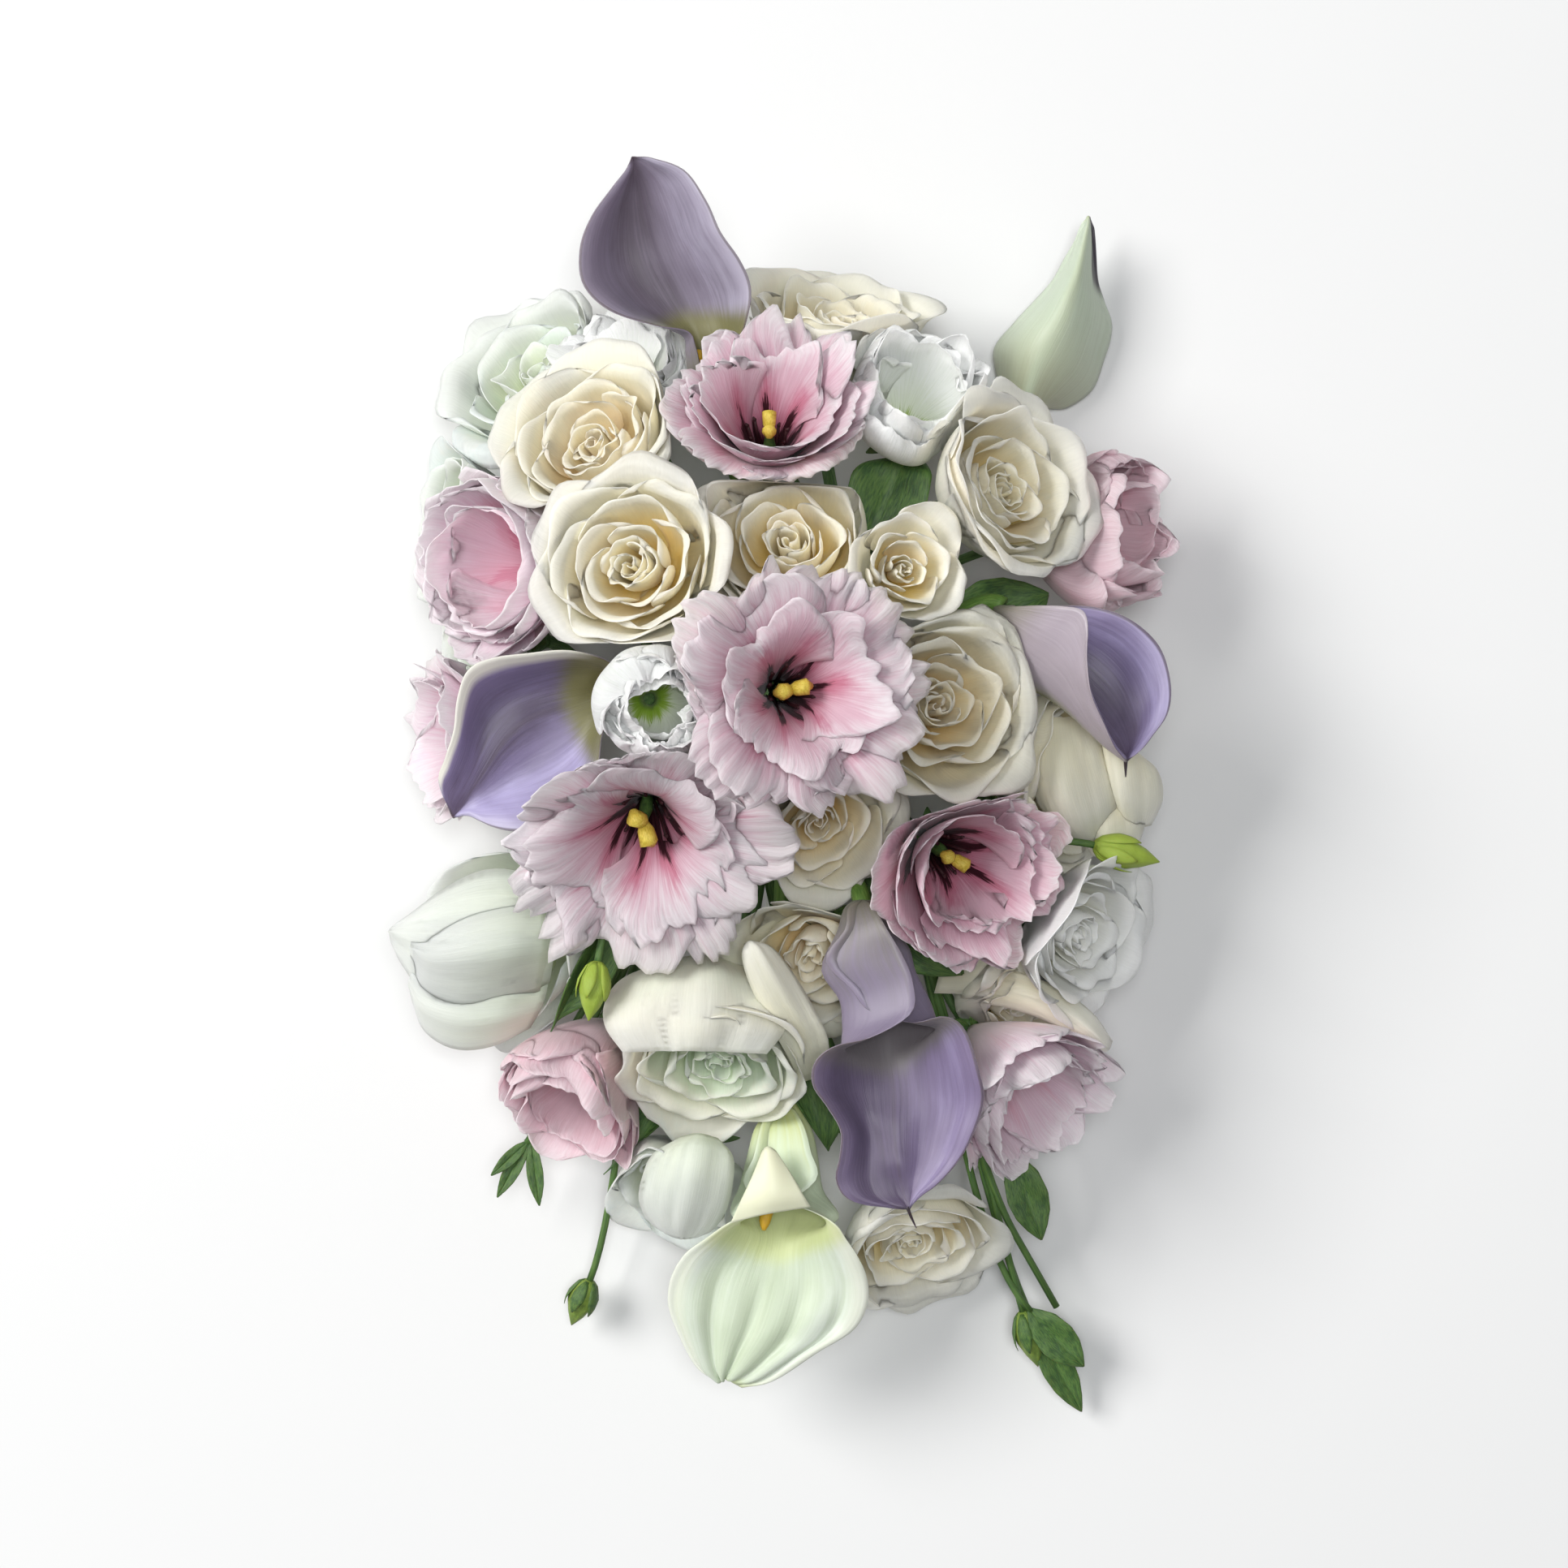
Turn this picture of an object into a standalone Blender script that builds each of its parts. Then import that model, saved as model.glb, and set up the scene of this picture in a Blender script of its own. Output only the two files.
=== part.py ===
"""Teardrop bridal bouquet of roses, lisianthus and calla lilies, lying face up.

The stems stand in a ball of wet foam, and the foam sits in the cup of a bouquet holder with a handle.
X runs across the bouquet, +Y towards its head, -Y towards its tail, and the flowers look up along +Z.
It rests on three low points: the handle's pommel, the rose at the head's left and the calla at its right.
The origin is under the middle of the whole bouquet, on the surface that it lies on.
"""

import math
import random

import bmesh
import bpy
import numpy as np
from mathutils import Matrix, Vector

MM = 0.001

# Gaps that keep neighbours from touching
CLEARANCE = 0.35 * MM
HEAD_GAP = 0.25 * MM

# Side of the blocks that cuts are made with, wider than the bouquet
BLOCK_SIDE = 0.8

# The bouquet's middle, from the point that the tables below measure from
BUNCH_MIDDLE = Vector((1.3, -3.8, 0)) * MM

# Foam ball and bouquet holder
FOAM_CENTRE = Vector((0, 25, 45)) * MM
FOAM_RADIUS = 36 * MM
BALL_SIDES = 14
BALL_STEPS = 10
CUP_RADIUS = FOAM_RADIUS + 0.4 * MM
CUP_WALL = 1.8 * MM
CUP_RIM_DOWN = math.radians(126)
CUP_STEPS = 3
HANDLE_START = Vector((0, 14, 14)) * MM
HANDLE_END = Vector((0, -98, 10.2)) * MM
HANDLE_RADIUS = 7 * MM
POMMEL_RADIUS = 11 * MM
# Share of the handle's length, and its radius there
HANDLE_SHAPE = [
    (0.00, HANDLE_RADIUS),
    (0.50, HANDLE_RADIUS * 0.90),
    (0.84, HANDLE_RADIUS * 0.85),
    (0.89, POMMEL_RADIUS),
    (1.00, POMMEL_RADIUS),
]

# Stems and greens
STEM_RADIUS = {"rose": 2.3 * MM, "lisianthus": 1.7 * MM, "calla": 3.2 * MM}
TRUNK_RADIUS = {"rose": 3.0 * MM, "lisianthus": 2.4 * MM}
STEM_ROOT = 0.5 * FOAM_RADIUS
FORK_REACH = 4 * MM
STEM_SPACING = 12.2 * MM
SPREAD_ROUNDS = 200
STEM_BENDS = 3
# How far a bend's two handles reach, as shares of its length
BEND_OUT = 0.28
BEND_IN = 0.22
STALK_RADIUS = 1.3 * MM
LEAF_THICKNESS = 0.9 * MM
CALYX_DEPTH = 8 * MM
# How deep a stem's end sits in its calyx, and the calyx's neck against the stem
CALYX_SEAT = 0.7
CALYX_NECK = 1.15
SEPALS = 5
# Radius of the calyx between the sepals, and out to their tips
CALYX_RADII = {"rose": (5.2 * MM, 13 * MM), "lisianthus": (3.6 * MM, 11 * MM)}
SEPAL_DROOP = 1.5 * MM
SEPAL_THICKNESS = 1.2 * MM

# Calla spathes and their spadices
SPATHE_WALL = 1.3 * MM
SPATHE_FOOT = 5.8 * MM
SPATHE_LAP = 0.9 * MM
SPATHE_COLUMNS = 10
SPATHE_MIDDLE = 0.6
SPADIX = [(0.12, 3.2 * MM), (0.26, 2.6 * MM), (0.36, 1.5 * MM)]

SMALL_ROSE = 30 * MM
PETALS = 5
PETAL_SAMPLES = 3
# Shares of a petal's turn and of its radius or height
PETAL_HALF_TURN = 0.45
PETAL_TUCK = 0.07
PETAL_CROWN = 0.11
PETAL_UNEVEN = 0.03
RUFFLE_RISE = 0.8

# name: middle of the mouth x, y, z, heading and lean of the axis in degrees, spin, radius, depth
ROSES = {
    "rose_heart_left": (-51, 74, 117, 150, 12, 10, 34, 37),
    "rose_upper_left": (-69, 124, 88, 125, 38, 40, 34, 35),
    "rose_heart_top": (4, 84, 102, 90, 18, 75, 35, 35),
    "rose_small_heart": (44, 74, 106, 20, 20, 20, 20, 26),
    "rose_upper_right": (85, 104, 89, 20, 42, 50, 34, 40),
    "rose_head": (20, 173, 55, 80, 62, 15, 36, 37),
    "rose_head_left": (-93, 152, 43.3, 130, 50, 0, 38, 38),
    "rose_heart_right": (59, 25, 104, 0, 24, 35, 35, 37),
    "rose_right_edge": (106, 2, 53, -6, 60, 60, 37, 35),
    "rose_right_low": (109, -54, 69, -25, 46, 25, 31, 33),
    "rose_tail_heart": (-25, -106, 75, -95, 44, 5, 37, 37),
    "rose_left_low": (-106, -58, 51, 205, 50, 45, 38, 39),
    "rose_middle_low": (9, -62, 74, -108, 34, 30, 31, 24),
    "rose_tail_right": (49, -171, 43, -70, 48, 12, 33, 33),
    "rose_tail_left": (-39, -150, 43, -112, 52, 55, 32, 33),
    "rose_left_edge": (-126, 96, 40, 170, 66, 22, 31, 33),
    "rose_left_edge_low": (-120, 50, 40, 182, 72, 66, 29, 30),
    "rose_filler": (15, -17, 87, -60, 25, 48, 27, 23),
    "rose_right_edge_low": (90, -83, 45, -42, 60, 38, 34, 34),
}
LISIANTHUS = {
    "lisianthus_heart": (7, 31, 135, 0, 14, 12, 42, 42),
    "lisianthus_lower_left": (-48, -22, 110, -95, 28, 30, 48, 40),
    "lisianthus_top": (-5, 130, 96, 90, 33, 0, 37, 38),
    "lisianthus_left": (-103, 75, 74, 186, 42, 20, 39, 40),
    "lisianthus_right": (119, 88, 56, 4, 58, 44, 39, 38),
    "lisianthus_lower_right": (64, -30, 93, -35, 28, 8, 39, 38),
    "lisianthus_tail_right": (89, -112, 61, -48, 52, 24, 36, 42),
    "lisianthus_tail_left": (-76, -113, 52, -118, 52, 36, 34, 39),
    "lisianthus_left_edge": (-123, 16, 47, 188, 66, 50, 33, 36),
    "white_lisianthus_upper_right": (47, 135, 80, 66, 36, 18, 34, 30),
    "white_lisianthus_heart": (-41, 25, 122, -40, 10, 28, 26, 33),
    "white_lisianthus_upper_left": (-55, 150, 60, 108, 48, 6, 30, 31),
}
# name: foot of the spathe x, y, z, heading and lean of the axis, spin, width, length
CALLAS = {
    "calla_lilac_head": (-26, 140, 57, 107, 76, 0, 58, 82),
    "calla_lilac_left": (-56, 34, 77, 211, 80, 0, 66, 72),
    "calla_lilac_right": (75, 61, 72, -40, 76, -60, 56, 72),
    "calla_lilac_tail": (27, -42, 74, -82, 84, 0, 58, 104),
    "calla_white_right": (86, 124, 8.65, 76, 82, 172, 48, 78),
    "calla_white_tail": (-5, -116, 44, -92, 78, 0, 72, 94),
}
# How much further forward than its height a flower counts, where two could lie over each other
FORWARD = {
    "calla_lilac_head": 30 * MM,
    "calla_lilac_left": 10 * MM,
    "calla_lilac_right": 40 * MM,
    "calla_lilac_tail": 20 * MM,
    "calla_white_tail": 30 * MM,
    "lisianthus_lower_left": 12 * MM,
}
# Each spray is one branched stem: the flowers that it carries, and the leaves and buds on it
ROSE_SPRAYS = {
    "rose_stem_upper_left": ["rose_upper_left", "rose_head_left", "rose_left_edge"],
    "rose_stem_heart": ["rose_heart_left", "rose_heart_top"],
    "rose_stem_upper_right": ["rose_small_heart", "rose_upper_right", "rose_head"],
    "rose_stem_right": ["rose_heart_right", "rose_right_edge"],
    "rose_stem_middle": ["rose_filler", "rose_middle_low"],
    "rose_stem_right_low": ["rose_right_low", "rose_right_edge_low"],
    "rose_stem_left": ["rose_left_low", "rose_left_edge_low"],
    "rose_stem_tail": ["rose_tail_heart", "rose_tail_right", "rose_tail_left"],
}
LISIANTHUS_SPRAYS = {
    "lisianthus_stem_heart": ["lisianthus_heart", "white_lisianthus_heart"],
    "lisianthus_stem_top": ["lisianthus_top", "white_lisianthus_upper_left"],
    "lisianthus_stem_left": ["lisianthus_left", "lisianthus_left_edge"],
    "lisianthus_stem_right": ["lisianthus_right", "white_lisianthus_upper_right"],
    "lisianthus_stem_tail_left": ["lisianthus_lower_left", "lisianthus_tail_left"],
    "lisianthus_stem_tail_right": ["lisianthus_lower_right", "lisianthus_tail_right"],
}
# How much higher, or lower, a stem leaves the foam than the straight way to its flowers
STEM_LIFT = {
    "lisianthus_stem_left": 0.4,
    "rose_stem_left": -0.1,
    "calla_lilac_left_stem": -0.15,
    "rose_stem_tail": 0.06,
    "calla_lilac_tail_stem": -0.3,
}
# spray: shape, branch that it grows on, tip x, y, z, foot x, y, z, and width of each bud, leaf or bare stalk
SIDE_SHOOTS = {
    "lisianthus_stem_tail_left": [
        ("bud", 0, (-66, -80, 88), (-63, -60, 86), 10),
        ("bud", 1, (-77, -196, 12), (-70, -179, 16), 10),
        ("leaf", 1, (-101, -146, 38), (-88, -128, 30), 8),
    ],
    "lisianthus_stem_tail_right": [
        ("bud", 0, (130, -27, 62), (107, -21, 64), 11),
        ("bud", 1, (88, -206, 14), (81, -186, 18), 11),
        ("leaf", 1, (108, -228, 8), (90, -194, 14), 12),
        ("stalk", 1, (98, -188, 20), (82, -160, 24), 3),
    ],
    "rose_stem_right_low": [("leaf", 1, (97, -168, 26), (84, -132, 26), 20)],
}
# Edges sharper than this stay crisp
SHARP_FROM = math.radians(40)
# kind: base colour and roughness
FINISHES = {
    "rose": ((0.86, 0.80, 0.58), 0.55),
    "lisianthus": ((0.80, 0.52, 0.62), 0.50),
    "white": ((0.86, 0.88, 0.82), 0.50),
    "calla_lilac": ((0.40, 0.33, 0.52), 0.40),
    "calla_white": ((0.80, 0.86, 0.70), 0.40),
    "stem": ((0.14, 0.28, 0.08), 0.50),
    "foam_ball": ((0.05, 0.20, 0.12), 0.90),
    "bouquet_holder": ((0.12, 0.24, 0.14), 0.35),
}


def axis_frame(heading, lean, spin):
    """Turns +Z to the heading and lean given in degrees, after a spin about it."""
    frame = Matrix.Identity(3)
    for axis, degrees in (("Z", heading), ("Y", lean), ("Z", spin)):
        frame = frame @ Matrix.Rotation(math.radians(degrees), 3, axis)
    return frame


class Flower:
    """Where one flower stands: its foot, the frame of its axis, and its two sizes."""

    def __init__(self, name, kind, row):
        x, y, z, heading, lean, spin, across, along = row
        self.name = name
        self.kind = kind
        self.turn = axis_frame(heading, lean, spin)
        self.axis = self.turn @ Vector((0, 0, 1))
        self.across = across * MM
        self.along = along * MM
        point = Vector((x, y, z)) * MM
        self.foot = point if kind == "calla" else point - self.axis * self.along
        self.matrix = Matrix.Translation(self.foot) @ self.turn.to_4x4()


def finish(obj):
    """Gives a piece its own material and smooth shading across its shallow edges."""
    kind = "stem" if "stem" in obj.name else next(key for key in FINISHES if obj.name.startswith(key))
    colour, roughness = FINISHES[kind]
    made = bpy.data.materials.new(obj.name)
    made.use_nodes = True
    shader = made.node_tree.nodes["Principled BSDF"]
    shader.inputs["Base Color"].default_value = (*colour, 1)
    shader.inputs["Roughness"].default_value = roughness
    obj.data.materials.clear()
    obj.data.materials.append(made)
    obj.data.shade_smooth()
    obj.data.set_sharp_from_angle(angle=SHARP_FROM)


def mesh_object(name, mesh, collection):
    made = bpy.data.objects.new(name, mesh)
    collection.objects.link(made)
    return made


def object_from(name, grid, collection):
    """An object from a bmesh, in triangles, with its faces turned outwards."""
    bmesh.ops.recalc_face_normals(grid, faces=grid.faces)
    bmesh.ops.triangulate(grid, faces=grid.faces)
    mesh = bpy.data.meshes.new(name)
    grid.to_mesh(mesh)
    grid.free()
    return mesh_object(name, mesh, collection)


def evaluated_copy(obj, name, collection):
    """A plain mesh of what the object's modifiers or bevel make, in world space."""
    graph = bpy.context.evaluated_depsgraph_get()
    mesh = bpy.data.meshes.new_from_object(obj.evaluated_get(graph))
    mesh.transform(obj.matrix_world)
    grid = bmesh.new()
    grid.from_mesh(mesh)
    bmesh.ops.remove_doubles(grid, verts=grid.verts, dist=0.000001)
    grid.to_mesh(mesh)
    grid.free()
    return mesh_object(name, mesh, collection)


def remove(objects):
    for obj in objects:
        bpy.data.objects.remove(obj)


def largest_piece(mesh):
    """Drops the loose scraps that a cut leaves, and keeps the one body with the most faces."""
    grid = bmesh.new()
    grid.from_mesh(mesh)
    unseen = set(grid.verts)
    pieces = []
    while unseen:
        front = [unseen.pop()]
        piece = set(front)
        while front:
            for edge in front.pop().link_edges:
                for vert in edge.verts:
                    if vert in unseen:
                        unseen.remove(vert)
                        piece.add(vert)
                        front.append(vert)
        pieces.append(piece)
    pieces.sort(key=len, reverse=True)
    scraps = [vert for piece in pieces[1:] for vert in piece]
    bmesh.ops.delete(grid, geom=scraps, context="VERTS")
    grid.to_mesh(mesh)
    grid.free()


def joined(name, host, others, operation, collection):
    """One Boolean of the host with a collection of others, applied, with the objects then removed.

    The solver is MANIFOLD, because EXACT leaves some of the petalled heads empty.
    """
    if not others:
        host.name = name
        return host
    host.name = "host"
    operands = bpy.data.collections.new(name + "_operands")
    bpy.context.scene.collection.children.link(operands)
    for other in others:
        for old in list(other.users_collection):
            old.objects.unlink(other)
        operands.objects.link(other)
    boolean = host.modifiers.new("join", "BOOLEAN")
    boolean.operation = operation
    boolean.operand_type = "COLLECTION"
    boolean.collection = operands
    boolean.solver = "MANIFOLD"
    bpy.context.view_layer.update()
    made = evaluated_copy(host, name, collection)
    largest_piece(made.data)
    remove([host, *others])
    bpy.data.collections.remove(operands)
    return made


def loft(name, rings, collection):
    """A closed skin over a stack of rings of points, closed at each end by a single point."""
    grid = bmesh.new()
    rows = [[grid.verts.new(point) for point in ring] for ring in rings]
    for low, high in zip(rows, rows[1:]):
        count = max(len(low), len(high))
        for i in range(count):
            lower = [low[k % len(low)] for k in (i, (i + 1) % count)]
            upper = [high[k % len(high)] for k in ((i + 1) % count, i)]
            grid.faces.new(list(dict.fromkeys(lower + upper)))
    return object_from(name, grid, collection)


def sheet(name, outside, inside, collection):
    """A closed blade between two grids of points, whose faces split into triangles alike and never cross."""
    grid = bmesh.new()
    front = [[grid.verts.new(point) for point in row] for row in outside]
    back = [[grid.verts.new(point) for point in row] for row in inside]
    rows, columns = len(front), len(front[0])
    for side in (front, back):
        for i in range(rows - 1):
            for j in range(columns - 1):
                grid.faces.new([side[i][j], side[i][j + 1], side[i + 1][j + 1]])
                grid.faces.new([side[i][j], side[i + 1][j + 1], side[i + 1][j]])
    for i in range(rows - 1):
        for j in (0, columns - 1):
            grid.faces.new([front[i][j], front[i + 1][j], back[i + 1][j], back[i][j]])
    for j in range(columns - 1):
        for i in (0, rows - 1):
            grid.faces.new([front[i][j], front[i][j + 1], back[i][j + 1], back[i][j]])
    return object_from(name, grid, collection)


def turned(name, profile, steps, collection):
    """A solid turned about Z from a profile of radius and height, given from its top to its bottom."""
    mesh = bpy.data.meshes.new(name)
    edges = [(i, i + 1) for i in range(len(profile) - 1)]
    mesh.from_pydata([(radius, 0, height) for radius, height in profile], edges, [])
    guide = mesh_object("profile", mesh, collection)
    screw = guide.modifiers.new("turn", "SCREW")
    screw.steps = screw.render_steps = steps
    screw.use_merge_vertices = True
    screw.merge_threshold = 0.000001
    bpy.context.view_layer.update()
    made = evaluated_copy(guide, name, collection)
    remove([guide])
    return made


def whorl_ring(radius, height, petal_shape, shift, ruffle, draw):
    """A ring through one whorl, whose petals each start tucked in and end lying over the next one."""
    count = PETALS * PETAL_SAMPLES
    points = []
    for j in range(count):
        petal, k = divmod((j - shift) % count, PETAL_SAMPLES)
        across = -1 + 2 * k / (PETAL_SAMPLES - 1)
        turn = 2 * math.pi * ((petal + 0.5 + PETAL_HALF_TURN * across) / PETALS + shift / count)
        wave = ruffle * (1 if j % 2 else -1)
        tuck = PETAL_TUCK * (across - across**2) + draw.uniform(-PETAL_UNEVEN, PETAL_UNEVEN)
        reach = radius * (1 + petal_shape * tuck + wave)
        rise = height * (1 - petal_shape * PETAL_CROWN * across**2 + RUFFLE_RISE * wave)
        points.append(Vector((reach * math.cos(turn), reach * math.sin(turn), rise)))
    return points


# Radius and height as shares of the flower's, how far the petals show, the whorl's shift and its ruffle
ROSE_RINGS = [
    (0.12, 0.00, 0.0, 0, 0),
    (0.62, 0.12, 0.3, 0, 0),
    (1.06, 0.52, 1.3, 0, 0),
    (0.84, 0.50, 0.5, 0, 0),
    (0.92, 0.84, 1.2, 1, 0),
    (0.70, 0.68, 0.5, 1, 0),
    (0.66, 0.98, 1.0, 2, 0),
    (0.46, 0.80, 0.5, 2, 0),
    (0.36, 1.02, 0.9, 0, 0),
]
SMALL_ROSE_RINGS = ROSE_RINGS[:5] + ROSE_RINGS[7:]
ROSE_HEART = 0.90
LISIANTHUS_RINGS = [
    (0.08, 0.00, 0.0, 0, 0),
    (0.30, 0.28, 0.3, 0, 0),
    (0.64, 0.60, 0.6, 0, 0),
    (0.98, 0.90, 1.1, 0, 0.045),
    (0.74, 0.74, 0.5, 0, 0),
    (0.76, 1.00, 0.9, 2, 0.05),
    (0.45, 0.64, 0.4, 2, 0),
    (0.20, 0.34, 0.2, 2, 0),
]
LISIANTHUS_HEART = 0.46


def bloom_head(flower, collection):
    """A rose or lisianthus head: whorls of petals that stand out of one body."""
    shape, heart = LISIANTHUS_RINGS, LISIANTHUS_HEART
    if flower.kind == "rose":
        shape, heart = (SMALL_ROSE_RINGS if flower.across < SMALL_ROSE else ROSE_RINGS), ROSE_HEART
    draw = random.Random(flower.name)
    rings = [[Vector((0, 0, 0))]]
    for radius, height, petal_shape, shift, ruffle in shape:
        size = (radius * flower.across, height * flower.along)
        rings.append(whorl_ring(*size, petal_shape, shift, ruffle, draw))
    rings.append([Vector((0, 0, heart * flower.along))])
    made = loft("whole_" + flower.name, rings, collection)
    made.data.transform(flower.matrix)
    return made


# Height, half width, half angle round the tube and setback of the mid-rib, up the spathe
SPATHE_ROWS = [
    (0.00, 0.00, 184, 0.00),
    (0.20, 0.12, 182, 0.00),
    (0.34, 0.56, 150, 0.02),
    (0.50, 0.95, 96, 0.05),
    (0.68, 0.92, 72, 0.08),
    (0.86, 0.50, 62, 0.14),
    (1.00, 0.06, 55, 0.22),
]
# The broad spathe ends in a rounder blade, with these half widths
BROAD_SPATHE = "calla_white_tail"
BROAD_END = {0.86: 0.74, 1.00: 0.22}


def spathe_row(flower, row, inset):
    """Points across one height of a calla's spathe, from its left edge round the back to its right edge."""
    height, wide, reach, setback = row
    if flower.name == BROAD_SPATHE:
        wide = BROAD_END.get(height, wide)
    foot = SPATHE_FOOT if height < 1 else 0
    half = foot + (flower.across / 2 - foot) * wide
    span = math.radians(reach)
    radius = half / math.sin(min(span, math.pi / 2))
    middle = setback * flower.along + half - radius
    points = []
    for j in range(SPATHE_COLUMNS):
        across = -1 + 2 * j / (SPATHE_COLUMNS - 1)
        out = radius - inset + SPATHE_LAP * across
        turn = span * across
        points.append(Vector((middle + out * math.cos(turn), out * math.sin(turn), height * flower.along)))
    return points


def spathe(flower, collection):
    """A calla's spathe: one sheet rolled into a tube at its foot, that opens into a pointed blade."""
    outside = [spathe_row(flower, row, 0) for row in SPATHE_ROWS]
    inside = [spathe_row(flower, row, SPATHE_WALL) for row in SPATHE_ROWS]
    made = sheet("whole_" + flower.name, outside, inside, collection)
    made.data.transform(flower.matrix)
    return made


def curve_through(name, points, radii, collection, sides=1):
    """A round stem through the points, as a mesh."""
    data = bpy.data.curves.new("guide", "CURVE")
    data.dimensions = "3D"
    data.bevel_depth = 1
    data.bevel_resolution = sides
    data.use_fill_caps = True
    spline = data.splines.new("POLY")
    spline.points.add(len(points) - 1)
    for knot, point, radius in zip(spline.points, points, radii):
        knot.co = (*point, 1)
        knot.radius = radius
    guide = mesh_object("guide", data, collection)
    bpy.context.view_layer.update()
    made = evaluated_copy(guide, name, collection)
    remove([guide])
    return made


def bend(start, start_way, end, end_way):
    """Points on a smooth bend from start to end that leaves and arrives along the two ways."""
    reach = (end - start).length
    knots = [start, start + start_way * reach * BEND_OUT, end - end_way * reach * BEND_IN, end]
    points = []
    for i in range(STEM_BENDS + 1):
        t = i / STEM_BENDS
        weights = [(1 - t) ** 3, 3 * t * (1 - t) ** 2, 3 * t**2 * (1 - t), t**3]
        points.append(sum((k * w for k, w in zip(knots, weights)), Vector()))
    return points


def calyx(flower, swell, collection):
    """The green cup under a head, with pointed sepals turned back, grown by swell to cut a clear way."""
    neck = STEM_RADIUS[flower.kind] * CALYX_NECK + swell
    notch, tip = (radius + swell for radius in CALYX_RADII[flower.kind])
    low, high = [], []
    for i in range(2 * SEPALS):
        turn = math.pi * i / SEPALS
        way = Vector((math.cos(turn), math.sin(turn), 0))
        low.append(way * neck - Vector((0, 0, CALYX_DEPTH)))
        drop = CLEARANCE + SEPAL_THICKNESS + SEPAL_DROOP * (i % 2)
        high.append(way * (tip + swell if i % 2 else notch) - Vector((0, 0, drop)))
    rings = [[Vector((0, 0, -CALYX_DEPTH))], low, high, [Vector((0, 0, swell - CLEARANCE))]]
    made = loft("calyx", rings, collection)
    made.data.transform(flower.matrix)
    return made


# Share of a bud's length from its foot, and radius as a share of its greatest, from its tip down
BUD_SHAPE = [(1.00, 0.0), (0.66, 0.8), (0.30, 1.0), (0.00, 0.35), (0.00, 0.0)]
BUD_SIDES = 6
# Share of a leaf's length from its foot, and width as a share of its greatest
LEAF_SHAPE = [(0.00, 0.16), (0.25, 0.86), (0.55, 1.00), (0.82, 0.56), (1.00, 0.08)]
LEAF_CREASE = 0.14
LEAF_ARCH = 0.30


def bud(tip, foot, width, swell, collection):
    """A closed green bud, fat near its foot and pointed at its tip."""
    along = tip - foot
    ends = {1.0: swell, 0.0: -swell}
    profile = []
    for share, wide in BUD_SHAPE:
        radius = width / 2 * wide + swell if wide else 0
        profile.append((radius, share * along.length + ends.get(share, 0)))
    made = turned("bud", profile, BUD_SIDES, collection)
    made.data.transform(Matrix.Translation(foot) @ along.to_track_quat("Z", "Y").to_matrix().to_4x4())
    return made


def leaf(tip, foot, width, swell, collection):
    """A pointed oval leaf, creased along its mid-rib."""
    along = tip - foot
    side = along.cross(Vector((0, 0, 1))).normalized()
    up = side.cross(along).normalized()
    half_thick = up * (LEAF_THICKNESS / 2 + swell)
    middle = []
    for share, wide in LEAF_SHAPE:
        rib = foot + along * share + up * width * LEAF_ARCH * share * (1 - share)
        edge = side * (width / 2 * wide + swell)
        crease = up * width * wide * LEAF_CREASE
        middle.append([rib - edge + crease, rib, rib + edge + crease])
    above = [[point + half_thick for point in row] for row in middle]
    below = [[point - half_thick for point in row] for row in middle]
    return sheet("leaf", above, below, collection)


def side_shoots(name, branches, swell, collection):
    """The buds, leaves and bare stalks of a spray, each on a stalk of its own."""
    pieces = []
    for shape, branch, tip, foot, width in SIDE_SHOOTS.get(name, []):
        tip, foot, width = Vector(tip) * MM, Vector(foot) * MM, width * MM
        root, past = branches[branch][1:3]
        ahead = (tip - foot).normalized()
        course = bend(root, (past - root).normalized(), foot + ahead * MM, ahead)
        if shape == "stalk":
            course.append(tip)
        radii = [STALK_RADIUS + swell] * len(course)
        pieces.append(curve_through("tube", course, radii, collection, sides=0))
        if shape == "bud":
            pieces.append(bud(tip, foot, width, swell, collection))
        elif shape == "leaf":
            pieces.append(leaf(tip, foot, width, swell, collection))
    return pieces


def spread(ways):
    """Turns the stems' ways out of the foam until each pair is far enough apart for its holes."""
    apart = STEM_SPACING / FOAM_RADIUS
    names = list(ways)
    for _ in range(SPREAD_ROUNDS):
        for i, one in enumerate(names):
            for other in names[i + 1:]:
                between = ways[other] - ways[one]
                push = between.normalized() * max(0, apart - between.length) / 2
                ways[one] = (ways[one] - push).normalized()
                ways[other] = (ways[other] + push).normalized()


def plan_stems(flowers):
    """For each stem node, the kind of its flowers, its trunk in the foam and its branches."""
    carried = {**ROSE_SPRAYS, **LISIANTHUS_SPRAYS}
    carried.update({name + "_stem": [name] for name in CALLAS})
    feet, ways = {}, {}
    for name, heads in carried.items():
        drop = 0 if flowers[heads[0]].kind == "calla" else CALYX_DEPTH * CALYX_SEAT
        feet[name] = [flowers[head].foot - flowers[head].axis * drop for head in heads]
        way = sum([(foot - FOAM_CENTRE).normalized() for foot in feet[name]], Vector()).normalized()
        ways[name] = (way + Vector((0, 0, STEM_LIFT.get(name, 0)))).normalized()
    spread(ways)
    plans = {}
    for name, heads in carried.items():
        way = ways[name]
        fork = FOAM_CENTRE + way * (FOAM_RADIUS + FORK_REACH)
        trunk = [FOAM_CENTRE + way * STEM_ROOT, fork + way * MM]
        branches = [bend(fork, way, foot, flowers[head].axis) for head, foot in zip(heads, feet[name])]
        plans[name] = (flowers[heads[0]].kind, trunk, branches)
    return plans


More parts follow.
